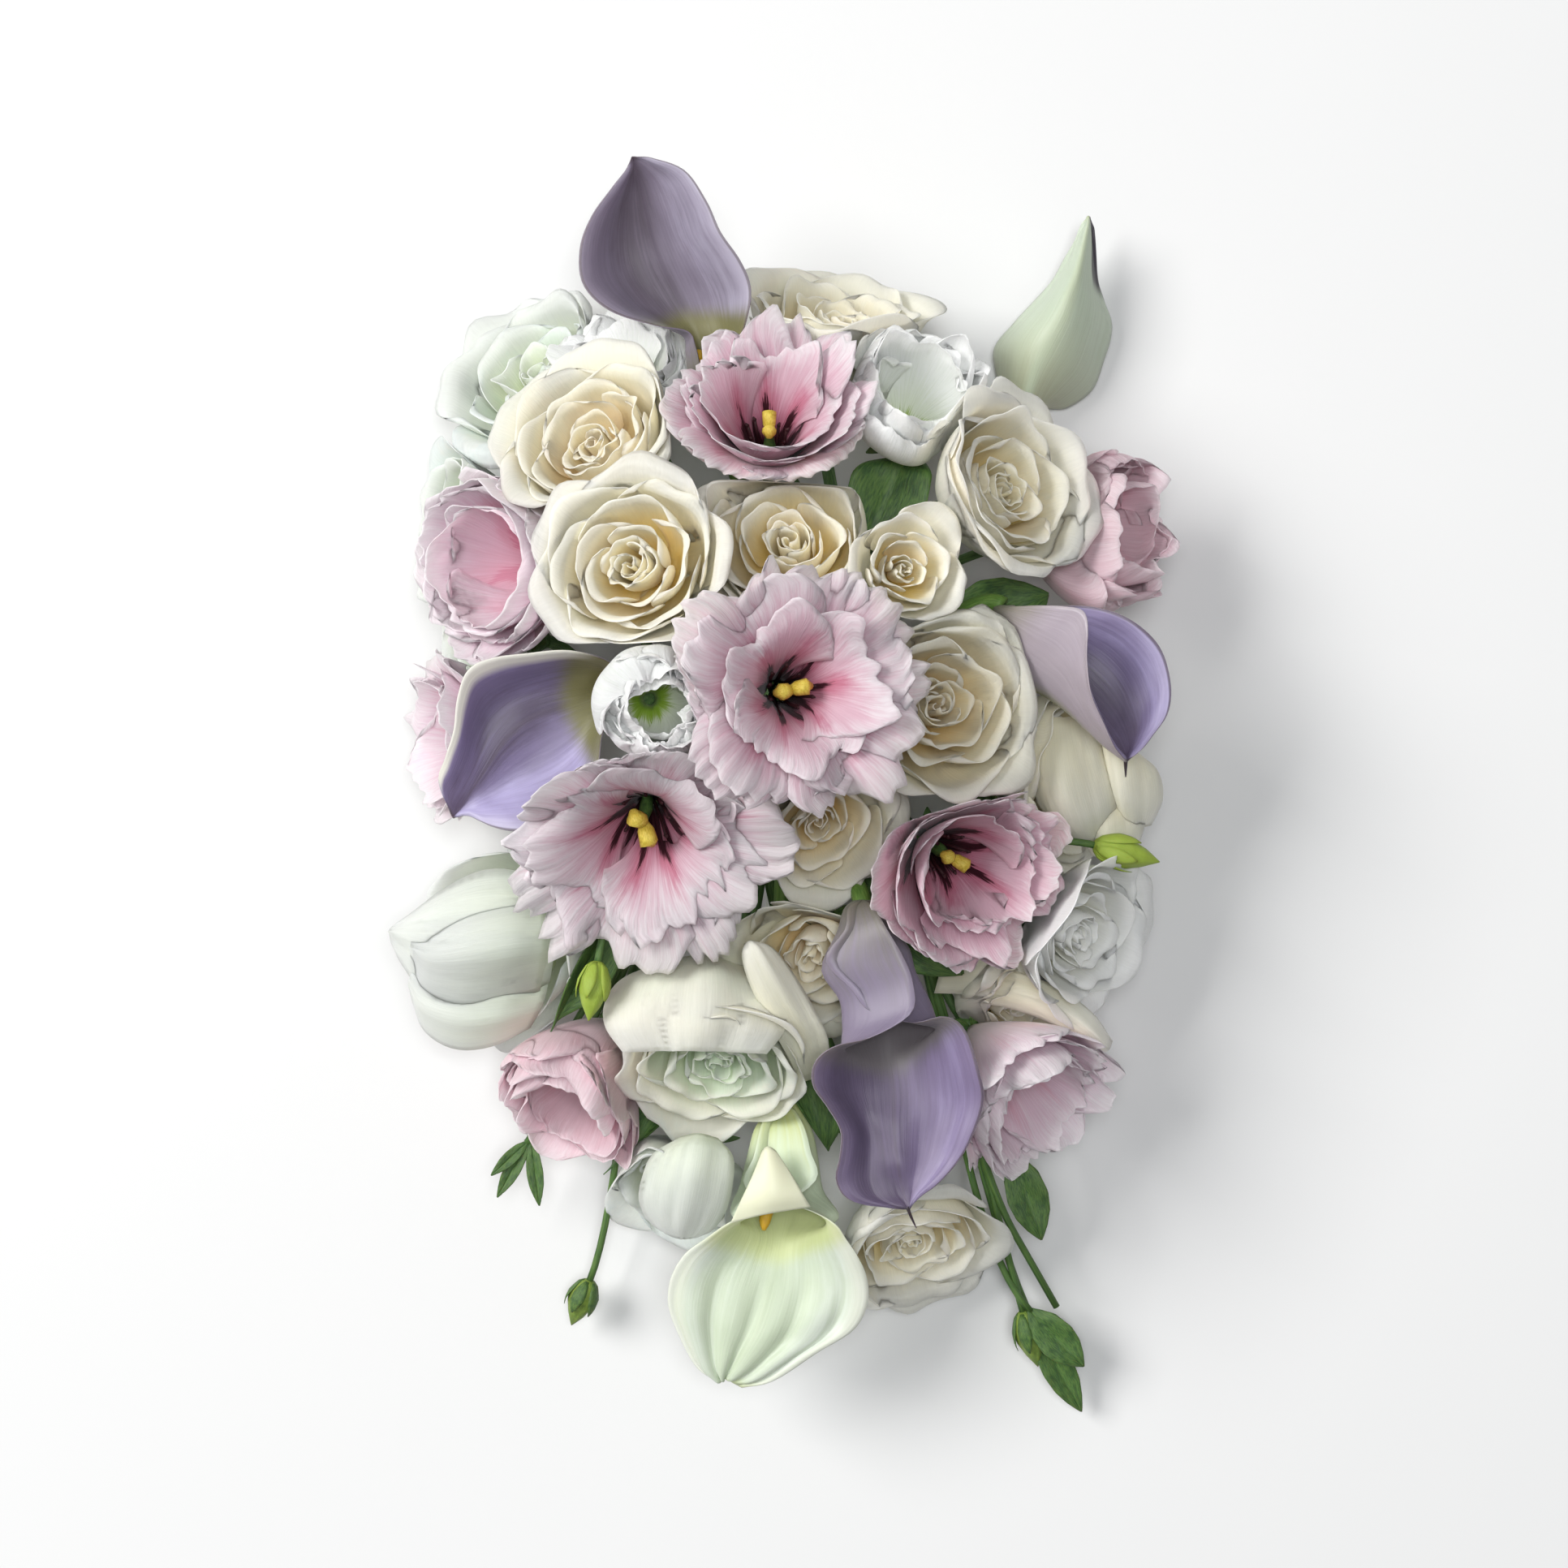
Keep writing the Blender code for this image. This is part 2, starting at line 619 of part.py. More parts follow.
def stem_tubes(name, plan, flowers, swell, collection):
    """The tubes of one stem node, each grown by swell so that they can also cut a clear way."""
    kind, trunk, branches = plan
    radius = STEM_RADIUS[kind] + swell
    if kind == "calla":
        points = [trunk[0], *branches[0]]
        radii = [radius] * len(points)
        if not swell:
            flower = flowers[name.removesuffix("_stem")]
            points += [flower.foot + flower.axis * flower.along * share for share, _ in SPADIX]
            radii += [thick for _, thick in SPADIX]
        return [curve_through("tube", points, radii, collection)]
    tubes = [curve_through("tube", trunk, [TRUNK_RADIUS[kind] + swell] * 2, collection)]
    for points in branches:
        tubes.append(curve_through("tube", points, [radius] * len(points), collection))
    return tubes + side_shoots(name, branches, swell, collection)


def stem_pieces(name, plan, flowers, swell, collection):
    """All that one stem node is joined from: its tubes, its side shoots and a calyx under each head."""
    pieces = stem_tubes(name, plan, flowers, swell, collection)
    for head in {**ROSE_SPRAYS, **LISIANTHUS_SPRAYS}.get(name, []):
        pieces.append(calyx(flowers[head], swell, collection))
    return pieces


def points_of(obj):
    flat = np.empty(len(obj.data.vertices) * 3, np.float32)
    obj.data.vertices.foreach_get("co", flat)
    return flat.reshape(-1, 3).astype(float)


def trial_ways(towards):
    """The way to the neighbour, and others spread round it."""
    turn = towards.to_track_quat("Z", "Y").to_matrix()
    ways = [towards]
    for lean in (15, 30, 45, 60):
        for heading in range(0, 360, 36):
            ways.append(turn @ axis_frame(heading, lean, 0) @ Vector((0, 0, 1)))
    return np.array([tuple(way) for way in ways])


def dividing_plane(front, back):
    """The plane that clears the front head and takes least from the one behind, or None if they lie apart."""
    ways = trial_ways(Vector(back.mean(0) - front.mean(0)).normalized())
    limits = (front @ ways.T).max(0) + HEAD_GAP
    depths = np.clip(limits - back @ ways.T, 0, None)
    best = int((depths**2).sum(0).argmin())
    if depths[:, best].max() <= 0:
        return None
    return Vector(ways[best]), float(limits[best])


def cell(planes, centre, collection):
    """A convex block round the head, bounded by the planes between it and the heads in front of it."""
    grid = bmesh.new()
    bmesh.ops.create_cube(grid, size=BLOCK_SIDE, matrix=Matrix.Translation(centre))
    for way, limit in planes:
        geometry = grid.verts[:] + grid.edges[:] + grid.faces[:]
        point = way * limit
        cut = bmesh.ops.bisect_plane(grid, geom=geometry, plane_co=point, plane_no=way, clear_inner=True)
        rim = [item for item in cut["geom_cut"] if isinstance(item, bmesh.types.BMEdge)]
        bmesh.ops.contextual_create(grid, geom=rim)
    return object_from("cell", grid, collection)


def in_front(flower):
    """How far forward a flower stands, which decides whose petals lie over whose."""
    share = SPATHE_MIDDLE if flower.kind == "calla" else 1
    middle = flower.foot + flower.axis * flower.along * share
    return middle.z + FORWARD.get(flower.name, 0)


def clear_of_neighbours(heads, order, ways, collection):
    """Trims each head to the room that the heads in front of it, the stems and the foam leave."""
    points = {name: points_of(heads[name]) for name in order}
    reaches = [(points_of(way).min(0), points_of(way).max(0)) for way in ways]
    for place, name in enumerate(order):
        planes = [dividing_plane(points[other], points[name]) for other in order[:place]]
        planes = [plane for plane in planes if plane]
        if planes:
            block = cell(planes, Vector(points[name].mean(0)), collection)
            heads[name] = joined(name, heads[name], [block], "INTERSECT", collection)
            points[name] = points_of(heads[name])
        low, high = points[name].min(0), points[name].max(0)
        near = []
        for way, (start, end) in zip(ways, reaches):
            if (start < high).all() and (end > low).all():
                near.append(mesh_object("way", way.data.copy(), collection))
        heads[name] = joined(name, heads[name], near, "DIFFERENCE", collection)


def ball(name, radius, collection):
    """A sphere round the foam's centre."""
    grid = bmesh.new()
    bmesh.ops.create_uvsphere(grid, u_segments=BALL_SIDES, v_segments=BALL_STEPS, radius=radius)
    bmesh.ops.translate(grid, vec=FOAM_CENTRE, verts=grid.verts)
    return object_from(name, grid, collection)


def foam_ball(ways, collection):
    """The ball of wet foam, with a plain hole for each stem."""
    whole = ball("whole_foam", FOAM_RADIUS, collection)
    holes = [mesh_object("hole", way.data.copy(), collection) for way in ways]
    return joined("foam_ball", whole, holes, "DIFFERENCE", collection)


def bouquet_holder(collection):
    """The cup that the foam sits in, and its handle, moulded as one piece with a flat under the pommel."""
    outer = CUP_RADIUS + CUP_WALL
    profile = []
    for i in range(CUP_STEPS + 1):
        down = CUP_RIM_DOWN + (math.pi - CUP_RIM_DOWN) * i / CUP_STEPS
        profile.append((outer * math.sin(down), outer * math.cos(down)))
    bowl = turned("bowl", [(0, profile[0][1]), *profile], BALL_SIDES, collection)
    bowl.data.transform(Matrix.Translation(FOAM_CENTRE))
    points = [HANDLE_START.lerp(HANDLE_END, share) for share, _ in HANDLE_SHAPE]
    handle = curve_through("handle", points, [radius for _, radius in HANDLE_SHAPE], collection, sides=3)
    whole = joined("whole_holder", bowl, [handle], "UNION", collection)
    floor = bmesh.new()
    bmesh.ops.create_cube(floor, size=BLOCK_SIDE, matrix=Matrix.Translation((0, 0, -BLOCK_SIDE / 2)))
    cutters = [ball("room", CUP_RADIUS, collection), object_from("floor", floor, collection)]
    return joined("bouquet_holder", whole, cutters, "DIFFERENCE", collection)


def main():
    remove(list(bpy.data.objects))
    bouquet = bpy.data.collections.new("rose_and_calla_bouquet")
    cutters = bpy.data.collections.new("cutters")
    for collection in (bouquet, cutters):
        bpy.context.scene.collection.children.link(collection)

    flowers, heads = {}, {}
    for kind, rows in (("rose", ROSES), ("lisianthus", LISIANTHUS), ("calla", CALLAS)):
        for name, row in rows.items():
            flower = Flower(name, kind, row)
            make = spathe if kind == "calla" else bloom_head
            flowers[name], heads[name] = flower, make(flower, bouquet)
    order = sorted(flowers, key=lambda name: in_front(flowers[name]), reverse=True)

    plans = plan_stems(flowers)
    ways = []
    for name, plan in plans.items():
        ways += stem_pieces(name, plan, flowers, CLEARANCE, cutters)
    foam_room = ball("foam_room", CUP_RADIUS, cutters)
    clear_of_neighbours(heads, order, [*ways, foam_room], bouquet)
    for name, plan in plans.items():
        trunk, *others = stem_pieces(name, plan, flowers, 0, bouquet)
        joined(name, trunk, others, "UNION", bouquet)
    foam_ball(ways, bouquet)
    bouquet_holder(bouquet)

    remove([*ways, foam_room])
    bpy.data.collections.remove(cutters)
    for piece in bouquet.objects:
        piece.data.transform(Matrix.Translation(-BUNCH_MIDDLE))
        finish(piece)


main()
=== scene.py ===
import math
import random

import bmesh
import bpy
import numpy as np
from mathutils import Matrix, Vector


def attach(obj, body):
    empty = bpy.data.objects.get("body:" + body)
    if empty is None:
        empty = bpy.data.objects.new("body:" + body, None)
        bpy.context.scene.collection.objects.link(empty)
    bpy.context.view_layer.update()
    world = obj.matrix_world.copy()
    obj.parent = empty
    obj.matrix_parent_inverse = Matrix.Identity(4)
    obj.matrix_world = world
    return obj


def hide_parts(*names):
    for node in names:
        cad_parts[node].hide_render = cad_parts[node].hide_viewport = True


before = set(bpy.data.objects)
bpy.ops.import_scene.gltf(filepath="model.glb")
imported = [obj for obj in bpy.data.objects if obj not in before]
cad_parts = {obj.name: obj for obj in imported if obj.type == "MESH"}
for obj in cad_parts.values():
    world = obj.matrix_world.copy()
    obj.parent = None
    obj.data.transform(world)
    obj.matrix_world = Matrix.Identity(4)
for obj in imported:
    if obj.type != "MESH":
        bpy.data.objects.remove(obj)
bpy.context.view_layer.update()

# Lengths here are millimetres, before the whole bunch is moved by bunch["middle"]
bunch = {
    "middle": (1.3, -3.8, 0.0),
    "headGap": 0.3,  # between a head and the plane that keeps it off its neighbour
    "pressSoft": 2.4,  # how gently petals bend where a neighbour presses on them
    "spatheSoft": 0.5,  # the same for the stiffer callas
    "floor": 0.35,
    "floorSoft": 0.8,
    "foamRoom": 36.6,
    "foamSoft": 0.8,
    "every": 7,  # the planes between heads are found from every seventh point
    "leans": (15, 30, 45, 60),  # of the planes that are tried between two heads, in degrees
    "turnStep": 36,
}
fullTurn = 2 * math.pi


def smooth(value):
    held = np.clip(value, 0, 1)
    return held * held * (3 - 2 * held)


def lerp(one, other, share):
    return one + (other - one) * share


def turnOf(heading, lean, spin):
    turn = Matrix.Rotation(math.radians(heading), 3, "Z") @ Matrix.Rotation(math.radians(lean), 3, "Y")
    return np.array(turn @ Matrix.Rotation(math.radians(spin), 3, "Z"))


def unit(vectors):
    return vectors / np.maximum(np.linalg.norm(vectors, axis=-1, keepdims=True), 1e-9)


def bezier(knots, t):
    weights = [(1 - t) ** 3, 3 * t * (1 - t) ** 2, 3 * t**2 * (1 - t), t**3]
    return [sum(w * knot[k] for w, knot in zip(weights, knots)) for k in range(len(knots[0]))]


def waves(draw, count, low, high):  # rate, phase and size of each of a few chance waves
    return [(draw.uniform(low, high), draw.uniform(0, fullTurn), draw.uniform(0.5, 1)) for _ in range(count)]


def wavy(u, parts):
    return sum(size * np.sin(rate * math.pi * u + phase) for rate, phase, size in parts) / len(parts)


def acrossAndAlong(columns, rows):  # -1 to 1 from edge to edge, and 0 to 1 from foot to tip
    return np.linspace(-1, 1, columns)[None, :], np.linspace(0, 1, rows)[:, None]


def anglesOf(sides):
    return np.linspace(0, fullTurn, sides, endpoint=False)


def facingOf(grid):
    return unit(np.cross(np.gradient(grid, axis=0), np.gradient(grid, axis=1)))


class Pile:  # points, faces and surface marks of one piece, gathered before its mesh is made
    marks = ("across", "along", "layer", "inner", "tint", "warm")
    # Low and high corner of what each part of a sheet or tube fills in its cell of the map
    rooms = {
        "front": (0.02, 0.02, 0.48, 0.93),
        "back": (0.52, 0.02, 0.98, 0.93),
        "rim": (0.02, 0.95, 0.98, 0.98),
        "side": (0.02, 0.02, 0.98, 0.9),
        "foot": (0.05, 0.92, 0.45, 0.98),
        "head": (0.55, 0.92, 0.95, 0.98),
        "whole": (0.01, 0.01, 0.99, 0.99),
    }

    def __init__(self):
        self.points = []
        self.values = []
        self.faces = []
        self.maps = []
        self.finishes = []
        self.cells = 0
        self.count = 0

    def addPoints(self, points, **marks):
        start = self.count
        flat = points.reshape(-1, 3)
        self.points.append(flat)
        spread = [np.broadcast_to(marks.get(name, 0.5), points.shape[:-1]) for name in self.marks]
        self.values.append(np.stack([row.reshape(-1) for row in spread], 1))
        self.count += len(flat)
        return start

    def addFaces(self, faces, uv, room, finish=0):
        low, high = np.array(self.rooms[room][:2]), np.array(self.rooms[room][2:])
        self.faces.append(faces)
        self.maps.append((self.cells, low + uv * (high - low)))
        self.finishes.append(np.full(len(faces), finish))

    def addSheet(self, grid, thick, taper=0.55, **marks):  # a petal or a leaf, in the piece's first finish
        rows, columns = grid.shape[:2]
        u, v = acrossAndAlong(columns, rows)
        half = thick / 2 * (1 - taper * np.maximum(np.abs(u) ** 4 + 0 * v, v**6 + 0 * u))
        half = facingOf(grid) * half[..., None]
        marks.setdefault("across", u + 0 * v)
        marks.setdefault("along", v + 0 * u)
        front = self.addPoints(grid + half, inner=1.0, **marks)
        back = self.addPoints(grid - half, inner=0.0, **marks)
        corners, uv = gridFaces(rows, columns)
        self.addFaces(corners[:, ::-1] + front, uv[:, ::-1], "front")
        self.addFaces(corners + back, uv, "back")
        index = np.arange(rows * columns).reshape(rows, columns)
        loop = np.concatenate([index[0, :-1], index[:-1, -1], index[-1, :0:-1], index[:0:-1, 0]])
        after = np.roll(loop, -1)
        rim = np.stack([loop + front, after + front, after + back, loop + back], 1)
        step = np.linspace(0, 1, len(loop) + 1)
        low, high = np.zeros(len(loop)), np.ones(len(loop))
        across = np.stack([step[:-1], step[1:], step[1:], step[:-1]], 1)
        self.addFaces(rim, np.stack([across, np.stack([low, low, high, high], 1)], 2), "rim")
        self.cells += 1

    def addTube(self, rings, finish=0, **marks):  # rings of points round a course, closed at both ends
        rows, columns = rings.shape[:2]
        marks.setdefault("across", np.abs(np.linspace(-1, 1, columns))[None, :])
        marks.setdefault("along", np.linspace(0, 1, rows)[:, None])
        start = self.addPoints(rings, **marks)
        corners, uv = gridFaces(rows, columns, True)
        self.addFaces(corners + start, uv, "side", finish)
        own = {name: value for name, value in marks.items() if np.ndim(value) == 0 and name != "along"}
        angle = np.linspace(0, fullTurn, columns + 1)
        disc = np.stack([np.cos(angle), np.sin(angle)], 1) * 0.5 + 0.5
        for row, way, room in ((0, -1, "foot"), (rows - 1, 1, "head")):
            middle = self.addPoints(rings[row].mean(0)[None], along=float(row > 0), **own)
            index = start + row * columns + np.arange(columns)
            cap = np.stack([index, np.roll(index, -1), np.full(columns, middle)], 1)
            uv = np.stack([disc[:-1], disc[1:], np.full((columns, 2), 0.5)], 1)
            self.addFaces(cap[:, ::way], uv[:, ::way], room, finish)
        self.cells += 1

    def piece(self, name, used, node):
        points = (np.concatenate(self.points) - bunch["middle"]) * 0.001  # in metres from here on
        corners = np.concatenate([faces.ravel() for faces in self.faces])
        finishOfFace = np.concatenate(self.finishes)
        mesh = bpy.data.meshes.new(name)
        mesh.vertices.add(len(points))
        mesh.vertices.foreach_set("co", points.astype(np.float32).ravel())
        totals = np.concatenate([np.full(len(faces), faces.shape[1]) for faces in self.faces])
        mesh.loops.add(int(totals.sum()))
        mesh.loops.foreach_set("vertex_index", corners.astype(np.int32))
        mesh.polygons.add(len(totals))
        starts = np.concatenate([[0], np.cumsum(totals)[:-1]])
        mesh.polygons.foreach_set("loop_start", starts.astype(np.int32))
        mesh.polygons.foreach_set("material_index", finishOfFace.astype(np.int32))
        mesh.update(calc_edges=True)
        across = math.ceil(math.sqrt(self.cells))
        spots = [(np.array([cell % across, cell // across]) + uv) / across for cell, uv in self.maps]
        spots = np.concatenate([uv.reshape(-1, 2) for uv in spots])
        mesh.uv_layers.new(name="OFBake").data.foreach_set("uv", spots.astype(np.float32).ravel())
        values = np.concatenate(self.values).astype(np.float32)
        for k, mark in enumerate(self.marks):
            mesh.attributes.new(mark, "FLOAT", "POINT").data.foreach_set("value", values[:, k].copy())
        mesh.shade_smooth()
        mesh.validate()
        for finish in used:
            mesh.materials.append(finishes[finish])
        made = bpy.data.objects.new(name, mesh)
        bpy.context.scene.collection.objects.link(made)
        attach(made, "root")
        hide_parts(node)


def aboutAxis(turn, reach, height):  # points from a turn about Z, a radius and a height
    return np.stack([reach * np.cos(turn), reach * np.sin(turn), height], -1)


def gridFaces(rows, columns, closed=False):
    wide = columns if closed else columns - 1
    i, j = [part.ravel() for part in np.meshgrid(np.arange(rows - 1), np.arange(wide), indexing="ij")]
    here, above, near = i * columns, (i + 1) * columns, (j + 1) % columns
    corners = np.stack([here + j, here + near, above + near, above + j], 1)
    u = np.stack([j, j + 1, j + 1, j], 1) / wide
    v = np.stack([i, i, i + 1, i + 1], 1) / (rows - 1)
    return corners, np.stack([u, v], 2)


def ringsAlong(course, radii, sides, shape=None):  # rings about a course, without a twist
    ways = unit(np.gradient(course, axis=0))
    side = unit(np.cross(ways[0], [0.31, 0.17, 0.93]))  # any way that no stem runs in
    angle = anglesOf(sides)
    rings = []
    for k, (point, way) in enumerate(zip(course, ways)):
        side = unit(side - way * (side @ way))
        other = np.cross(way, side)
        swell = radii[k] * (1 if shape is None else shape(angle, k / (len(course) - 1)))
        rings.append(point + np.outer(np.cos(angle) * swell, side) + np.outer(np.sin(angle) * swell, other))
    return np.array(rings)


def turnedRings(profile, sides):  # rings about Z from rows of radius and height
    angle = anglesOf(sides)
    return np.array([aboutAxis(angle, radius, np.full(sides, height)) for radius, height in profile])


# Shader maths
class Wire:  # a shader socket that works in Python expressions
    def __init__(self, tree, socket=None):
        self.tree = tree
        self.socket = socket

    def node(self, kind, settings, values, output=0):
        made = self.tree.nodes.new("ShaderNode" + kind)
        for name, value in settings.items():
            setattr(made, name, value)
        for name, value in values.items():
            setSocket(self.tree, made.inputs[name], value)
        return Wire(self.tree, made.outputs[output])

    def maths(self, operation, *values):
        return self.node("Math", {"operation": operation}, dict(enumerate(values)))

    def mark(self, name):
        return self.node("Attribute", {"attribute_name": name}, {}, "Fac")

    def mixed(self, factor, one, other, how="MIX"):
        return self.node("Mix", {"data_type": "RGBA", "blend_type": how}, {0: factor, 6: one, 7: other}, 2)

    def shaded(self, colour, share):  # a colour made lighter or darker all over
        grey = self.node("CombineColor", {}, {0: share, 1: share, 2: share})
        return self.mixed(1.0, colour, grey, "MULTIPLY")

    def step(self, value, low, high):
        return self.node("MapRange", {"interpolation_type": "SMOOTHSTEP"}, {0: value, 1: low, 2: high})

    def noise(self, vector, scale, detail):
        values = {"Vector": vector, "Scale": scale, "Detail": detail, "Roughness": 0.55}
        return self.node("TexNoise", {}, values)

    def place(self, x, y, z):
        return self.node("CombineXYZ", {}, {0: x, 1: y, 2: z})

    def grain(self, across, along, seed, kind, name):
        wide, far, step, scale, detail = grains[kind][name]
        return self.noise(self.place(across * wide, along * far, seed * step), scale, detail)

    def bump(self, strength, distance, height):
        return self.node("Bump", {}, {"Strength": strength, "Distance": distance, "Height": height})

    def __abs__(self):
        return self.maths("ABSOLUTE", self)

    def __add__(self, other):
        return self.maths("ADD", self, other)

    def __radd__(self, other):
        return self.maths("ADD", other, self)

    def __sub__(self, other):
        return self.maths("SUBTRACT", self, other)

    def __rsub__(self, other):
        return self.maths("SUBTRACT", other, self)

    def __mul__(self, other):
        return self.maths("MULTIPLY", self, other)

    def __rmul__(self, other):
        return self.maths("MULTIPLY", other, self)


def setSocket(tree, socket, value):
    if isinstance(value, Wire):
        tree.links.new(value.socket, socket)
    else:
        socket.default_value = value


def tone(colour):  # a colour as a screen shows it, in linear light
    return tuple(c / 12.92 if c < 0.04045 else ((c + 0.055) / 1.055) ** 2.4 for c in colour) + (1.0,)


def finishOf(name, make, look):
    made = bpy.data.materials.new(name)
    made.use_nodes = True
    linear = {key: tone(value) if isinstance(value, tuple) else value for key, value in look.items()}
    shader = made.node_tree.nodes["Principled BSDF"]
    for socket, value in make(Wire(made.node_tree), linear).items():
        setSocket(made.node_tree, shader.inputs[socket], value)
    return made


photo = {
    "middle": (965, 967),  # the pixel under the camera
    "scale": 0.28,  # mm a pixel at the height of the front flowers
    "front": 65,
    "eye": 1135,  # height of the camera in mm
}
# Each flower: x, y, z of its mouth, heading, lean, spin, radius, depth, openness, warmth, and a rose's petals
roses = {
    "rose_heart_left": (-51, 74, 117, 150, 12, 10, 32, 37, 0.5, 1.0, 32),
    "rose_upper_left": (-69, 124, 88, 125, 38, 40, 34, 35, 0.6, 0.9, 30),
    "rose_heart_top": (4, 84, 102, 90, 18, 75, 35, 35, 0.5, 1.0, 28),
    "rose_small_heart": (44, 74, 106, 20, 20, 20, 20, 26, 0.4, 0.7, 20),
    "rose_upper_right": (85, 104, 89, 20, 42, 50, 34, 40, 0.8, 0.7, 30),
    "rose_head": (20, 173, 55, 80, 62, 15, 36, 37, 0.5, 0.4, 26),
    "rose_head_left": (-93, 152, 43.3, 130, 50, 0, 38, 38, 0.6, 0.3, 24),
    "rose_heart_right": (59, 25, 104, 0, 24, 35, 35, 37, 0.6, 0.7, 32),
    "rose_right_edge": (106, 2, 53, -6, 60, 60, 37, 35, 0.7, 0.5, 26),
    "rose_right_low": (109, -54, 69, -25, 46, 25, 31, 33, 0.5, 0.4, 28),
    "rose_tail_heart": (-25, -106, 75, -95, 44, 5, 34, 36, 0.2, 0.5, 28),
    "rose_left_low": (-106, -58, 51, 205, 50, 45, 38, 39, 0.3, 0.1, 15),
    "rose_middle_low": (9, -62, 74, -108, 34, 30, 31, 24, 0.6, 0.5, 22),
    "rose_tail_right": (49, -171, 43, -70, 48, 12, 33, 33, 0.6, 0.6, 28),
    "rose_tail_left": (-39, -150, 43, -112, 52, 55, 32, 33, 0.7, 0.2, 24),
    "rose_left_edge": (-126, 96, 40, 170, 66, 22, 31, 33, 0.6, 0.3, 22),
    "rose_left_edge_low": (-120, 50, 40, 182, 72, 66, 29, 30, 0.6, 0.3, 20),
    "rose_filler": (15, -17, 87, -60, 25, 48, 27, 23, 0.6, 0.5, 24),
    "rose_right_edge_low": (90, -83, 45, -42, 60, 38, 34, 34, 0.8, 0.4, 22),
}
# The beige look is partly the roses' own beige and partly a darker copy of the cream that paints shade
roseKinds = {
    "rose_white": ["rose_right_low", "rose_tail_heart", "rose_left_low", "rose_left_edge",
                   "rose_left_edge_low", "rose_head_left", "rose_tail_left"],
    "rose_beige": ["rose_heart_right", "rose_filler", "rose_right_edge_low", "rose_right_edge",
                   "rose_middle_low", "rose_head"],
}
rosePetals = {
    "heartFrom": 0.64,  # share of the petals after which the tight heart starts
    "rim": (1.12, 0.36, 0.31, 0.05),  # radius of the outer rim, of the last open one, and of the heart's
    "heights": ((0.0, 0.2, 0.4, 0.72, 1.0), (0.76, 0.92, 1.0, 0.96, 0.92)),
    "halfAngle": (0.92, 1.25, 1.9),
    "outline": ((0.0, 0.2, 0.45, 0.7, 0.88, 1.0), (0.34, 0.62, 0.93, 1.0, 0.94, 0.70)),
    "cornerDrop": 0.20,
    "cells": (19, 13),
    "heartCells": (15, 10),
    "rollFrom": 0.76,  # share of a petal's length after which its rim rolls back
    "rollLength": 0.25,
    "roll": (2.2, 1.6, 0.6),  # how far the rim of an outer, a middle and a heart petal rolls, in radians
    "sideCurl": 0.07,
    "wave": 0.06,
    "offCentre": 0.10,
    "oval": 0.09,
    "fewer": 0.8,  # share of each rose's petals that are made
    # Between what a measure is drawn, for each petal
    "varies": {"rim": (0.94, 1.06), "top": (0.95, 1.04), "half": (0.9, 1.12), "point": (0.02, 0.09),
               "roll": (0.5, 1.25), "turn": (-0.25, 0.25), "tilt": (-0.05, 0.05)},
    "thick": 0.45,
}
lisianthuses = {
    "lisianthus_heart": (7, 31, 135, 0, 14, 12, 42, 42, 0.9, 0.6),
    "lisianthus_lower_left": (-48, -22, 110, -95, 28, 30, 48, 40, 1.0, 0.35),
    "lisianthus_top": (-5, 130, 96, 90, 33, 0, 37, 38, 0.5, 0.7),
    "lisianthus_left": (-103, 75, 74, 186, 42, 20, 39, 40, 0.1, 0.45),
    "lisianthus_right": (119, 88, 56, 4, 58, 44, 39, 38, -0.3, 0.95),
    "lisianthus_lower_right": (64, -30, 93, -35, 28, 8, 39, 38, 0.3, 1.0),
    "lisianthus_tail_right": (89, -112, 61, -48, 52, 24, 36, 42, 0.1, 0.5),
    "lisianthus_tail_left": (-76, -113, 52, -118, 52, 36, 34, 39, -0.1, 0.9),
    "lisianthus_left_edge": (-123, 16, 47, 188, 66, 50, 33, 36, 0.4, 0.4),
    "white_lisianthus_upper_right": (47, 135, 80, 66, 36, 18, 34, 30, -0.25, 0.5),
    "white_lisianthus_heart": (-41, 25, 122, -40, 10, 28, 26, 33, -0.6, 0.5),
    "white_lisianthus_upper_left": (-55, 150, 60, 108, 48, 6, 30, 31, 0.6, 0.5),
}
lisianthusPetals = {
    "whorls": ((5, 1.04, 0.88), (4, 0.92, 1.0), (3, 0.70, 1.02)),  # petals, rim radius, rim height
    "cells": (43, 15),
    "overlap": 1.62,  # a petal's width as a share of its place in the whorl
    "outline": ((0.0, 0.3, 0.6, 0.8, 0.93, 1.0), (0.5, 0.66, 0.92, 1.03, 1.0, 0.84)),
    "corner": 0.21,
    "notch": 0.06,
    "ruffle": 0.14,
    "frill": 0.044,
    "crinkle": 0.05,
    # Smaller where the frill is smoother than on most, then wider or narrower petals
    "crimped": {"white": 0.45, "lisianthus_left": 0.6, "lisianthus_tail_left": 0.35, "lisianthus_right": 0.4,
                "lisianthus_tail_right": 0.7},
    "broad": {"lisianthus_lower_left": 0.76, "lisianthus_heart": 0.9, "lisianthus_left": 1.3,
              "lisianthus_tail_left": 1.25, "lisianthus_right": 1.2, "white_lisianthus_heart": 1.25,
              "white_lisianthus_upper_right": 1.2},
    "noEye": ("lisianthus_left", "white_lisianthus_heart", "white_lisianthus_upper_right"),
    "varies": {"rim": (0.92, 1.08), "top": (0.92, 1.06), "opened": (-0.16, 0.16), "half": (0.88, 1.1),
               "turn": (-0.2, 0.2)},
    "thick": 0.34,
}
